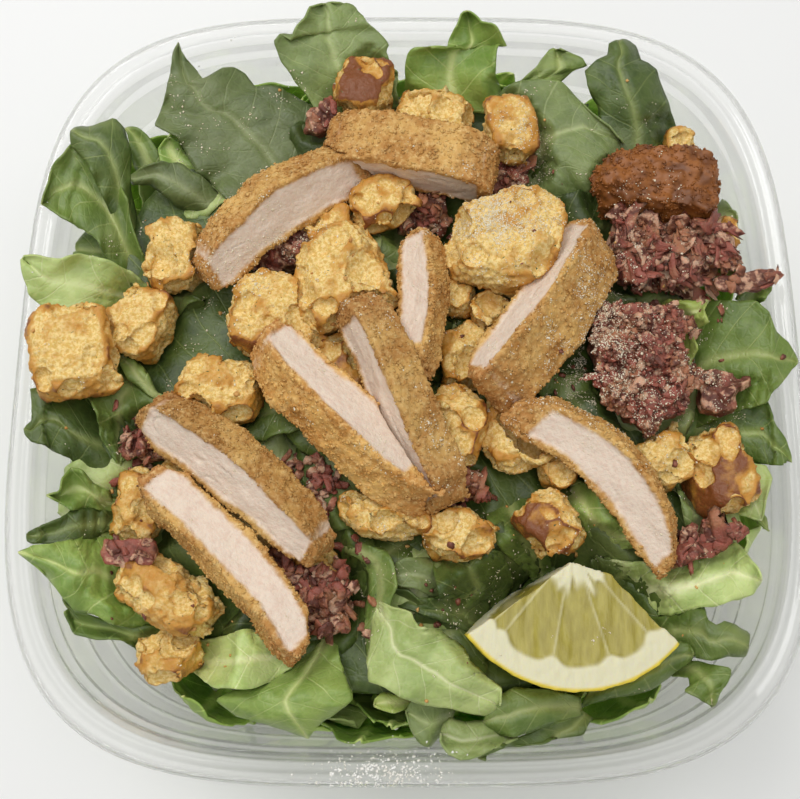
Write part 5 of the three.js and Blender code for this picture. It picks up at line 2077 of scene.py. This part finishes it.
    def lay_loose(self, shape: bmesh.types.BMesh, leaf: LooseLeaf, number: int) -> tuple[Blade, np.ndarray]:
        """Lays a mostly hidden leaf along its spine, its tip ragged.

        Args:
            shape: the mesh that its grid joins.
            leaf: the leaf.
            number: its number, for chance.

        Returns:
            The leaf's blade and the places of its points in millimetres.
        """
        spine = np.array([self.spine_point(point) for point in leaf.spine])
        length = float(np.linalg.norm(spine[1] - spine[0]) + np.linalg.norm(spine[2] - spine[1]))
        share, across = self.flat_grid(shape, (length, leaf.left[1] + leaf.right[1]), self.loose_cell)
        ragged = np.stack([across * 2.5, 0 * across, 0 * across + number], axis=1)
        share = share + smoothstep(0.5, 1, share) * (0.07 * noise(ragged, 51) - 0.10 * across**2)
        sides = [size * along(side.value, share) for side, size in (leaf.left, leaf.right)]
        blade = Blade(leaf, number, length, share, across, np.where(across > 0, *sides), self.vein_spacing)
        t = share[:, None]
        heading = unit(curved(spine, t + 0.01) - curved(spine, t - 0.01))
        side = unit(np.cross(np.array(leaf.face), heading))
        normal = np.cross(heading, side)
        out = blade.v + blade.sign * blade.torn()
        place = curved(spine, t) + side * out[:, None] + normal * blade.lift()[:, None]
        return blade, self.clear(place, self.loose_gap) + normal * blade.relief()[:, None]

    def spine_point(self, point: tuple) -> np.ndarray:
        """A spine's point; without a height it is rooted in the core.

        Args:
            point: two or three numbers in millimetres.

        Returns:
            The place in millimetres.
        """
        if len(point) == 3:
            return np.array(point, float)
        return np.array([*point, float(self.core_top(*point)[0]) - self.root_depth])

    def clear(self, points: np.ndarray, gap: float) -> np.ndarray:
        """Keeps points under the toppings, and inside the wall or above the rim.

        Args:
            points: n by 3 places in millimetres.
            gap: room left below the toppings.

        Returns:
            The places, moved where they must.
        """
        points = points.copy()
        highest = self.heights.ceiling[self.heights.cells(points)] - gap
        points[:, 2] = np.maximum(np.minimum(points[:, 2], highest), self.lowest)
        size = self.bowl.plan_size(points)
        below, within = self.rim_near
        above = (points[:, 2] > self.bowl.rim_height - below) & (size > self.bowl.half_width - within)
        points[above, 2] = np.maximum(points[above, 2], self.bowl.rim_height + self.rim_over)
        limit = self.bowl.inner_size(points[:, 2]) - self.wall_gap
        shrink = np.where(~above & (size > limit), limit / size, 1)
        points[:, :2] *= shrink[:, None]
        return points


# ---- cheese, crumbs and bits


@dataclass
class Sprinkle:
    """Small grains lying on whatever is below them, one joined piece."""

    name: str
    finish: PlainFinish
    slot: str
    size: tuple[float, float]
    flatness: float
    patches: tuple[Patch, ...]
    seed: int
    avoid: tuple[str, ...] = ("bowl", "floor")
    clump: int = 1
    clump_spread: float = 0.9

    def build(self) -> None:
        """Drops the grains and joins them."""
        random = np.random.default_rng(self.seed)
        found = []
        for patch in self.patches:
            clumps = max(patch.count // self.clump, 1)
            middles = random.normal(0, 0.5, (clumps, 2)) * np.array(patch.spread) + np.array(patch.at)
            spots = middles[random.integers(0, clumps, patch.count)]
            if self.clump > 1:
                spots = spots + random.normal(0, self.clump_spread, spots.shape)
            found.extend(dropped(spots, self.avoid))
        places, normals = (np.array(part) for part in zip(*found))
        mesh = grain_mesh(places, normals, self.size, self.flatness, random)
        piece(self.name, mesh, self.finish.material(), self.slot)


# ---- studio


@dataclass
class Studio:
    """Floor, light and camera."""

    aim: tuple[float, float, float] = (-2.07, -9.1, 56.0)
    distance: float = 257.0
    tilt: float = 15.3
    lens: float = 47.84
    sensor: float = 36.0
    picture: tuple[int, int] = (800, 799)
    sky: float = 0.42
    lamps: tuple = (("overhead", 5.7, 1.1, (0.04, 0.02, 1.1)), ("key", 2.3, 0.35, (-0.35, 0.35, 0.75)))

    @property
    def focal(self) -> float:
        """The lens's length in pixels of the picture."""
        return self.lens / self.sensor * self.picture[0]

    @property
    def back(self) -> np.ndarray:
        """The way from what the camera looks at to the camera."""
        tilt = math.radians(self.tilt)
        return np.array([0, -math.sin(tilt), math.cos(tilt)])

    def seen(self, pixels: np.ndarray, heights: np.ndarray) -> np.ndarray:
        """The places at heights that the camera sees in pixels of its picture.

        Args:
            pixels: n by 2, right and down.
            heights: n heights in millimetres.

        Returns:
            n by 3 places in millimetres.
        """
        off = (pixels - np.array(self.picture) / 2) / self.focal
        up = np.array([0, self.back[2], -self.back[1]])
        way = off[:, :1] * np.array([1, 0, 0]) - off[:, 1:] * up - self.back
        eye = np.array(self.aim) + self.back * self.distance
        return eye + way * ((heights - eye[2]) / way[:, 2])[:, None]

    def build(self) -> None:
        """Makes the floor, the lights and the camera."""
        self.build_floor()
        self.build_lights()
        self.build_camera()

    def build_floor(self) -> None:
        """Makes a plain pale floor."""
        shape = bmesh.new()
        bmesh.ops.create_grid(shape, x_segments=1, y_segments=1, size=1.5)
        mesh = finished(shape, "floor")
        mesh.transform(Matrix.Translation((0, 0, -0.0002)))
        mesh.materials.append(PlainFinish("floor", srgb(244, 244, 243), srgb(242, 242, 241), 0.8, 3.0).material())
        floor = placed("floor", mesh)

    def build_lights(self) -> None:
        """Makes a grey sky, a wide lamp overhead and a smaller one from the upper left."""
        world = bpy.data.worlds.new("studio")
        world.use_nodes = True
        world.node_tree.nodes["Background"].inputs[0].default_value = (1, 1, 1, 1)
        world.node_tree.nodes["Background"].inputs[1].default_value = self.sky
        bpy.context.scene.world = world
        for name, energy, size, place in self.lamps:
            lamp = bpy.data.lights.new(name, "AREA")
            lamp.energy = energy
            lamp.size = size
            holder = placed(name, lamp)
            holder.location = place
            holder.rotation_euler = (Vector((0, 0, 0.05)) - holder.location).to_track_quat("-Z", "Y").to_euler()

    def build_camera(self) -> None:
        """Makes the camera that looks down from the near side."""
        data = bpy.data.cameras.new("camera")
        data.lens = self.lens
        data.sensor_width = self.sensor
        data.clip_start = 0.01
        camera = placed("camera", data)
        camera.location = Vector(tuple((np.array(self.aim) + self.back * self.distance) * MM))
        camera.rotation_euler = (math.radians(self.tilt), 0, 0)
        bpy.context.scene.camera = camera


def main() -> None:
    """Builds the salad, piece after piece."""
    bpy.context.scene.view_settings.view_transform = "Standard"
    studio = Studio()
    studio.build()
    bowl = Bowl()
    bowl.build()
    Chicken().build()
    Croutons().build()
    bacon = Bacon()
    bacon.build()
    Lemon().build()
    Lettuce(bowl, Heights(), studio).build()
    bacon.scatter()
    cheese = PlainFinish("cheese", srgb(240, 230, 206), srgb(226, 212, 180), 0.7, 500.0)
    dense = (
        Patch((21, 33), (13, 9), 2600),
        Patch((25, 27), (17, 14), 900),
        Patch((46, 6), (11, 20), 2400),
        Patch((52, -8), (26, 14), 1700),
        Patch((-27, 30), (10, 6), 420),
        Patch((31, 57), (10, 10), 500),
        Patch((3, -24), (18, 14), 300),
    )
    wide = (
        Patch((0, 0), (110, 100), 900),
        Patch((-40, 62), (30, 26), 200),
        Patch((-42, 20), (12, 8), 420),
        Patch((60, 30), (20, 26), 260),
        Patch((14, -50), (24, 18), 160),
        Patch((36, -20), (30, 30), 400),
        Patch((-10, 10), (50, 40), 500),
    )
    Sprinkle("parmesan_dust", cheese, "toasted_bread", (0.18, 0.5), 0.5, dense, 5, clump=26, clump_spread=1.2).build()
    Sprinkle("parmesan_crumbs", cheese, "toasted_bread", (0.18, 0.6), 0.5, wide, 6, clump=5).build()
    clean = ("bowl", "floor", "lemon", "chicken")
    bread = PlainFinish("bread_crumbs", srgb(222, 176, 106), srgb(190, 132, 66), 0.7, 500.0)
    fallen = (Patch((0, 0), (90, 80), 170), Patch((50, -60), (20, 10), 8), Patch((-50, -60), (30, 14), 20))
    Sprinkle("bread_crumbs", bread, "toasted_bread", (0.5, 1.4), 0.8, fallen, 9, avoid=clean).build()
    shreds = PlainFinish("bacon_crumbs", srgb(150, 90, 68), srgb(104, 58, 44), 0.5, 500.0)
    fallen = (Patch((54, 14), (28, 36), 130), Patch((-60, -40), (26, 30), 24), Patch((8, -54), (10, 10), 16))
    Sprinkle("bacon_crumbs", shreds, "bacon", (0.7, 1.9), 0.6, fallen, 10, avoid=clean).build()
    rim = (Patch((-6, -94.5), (15, 5), 700), Patch((-48, 88), (20, 6), 16), Patch((-93, 40), (5, 40), 16))
    pale = PlainFinish("fine_cheese", srgb(250, 249, 244), srgb(242, 238, 228), 0.7, 500.0)
    Sprinkle("rim_crumbs", pale, "toasted_bread", (0.3, 0.75), 0.5, rim, 11, avoid=("floor",)).build()


if __name__ == "__main__":
    main()
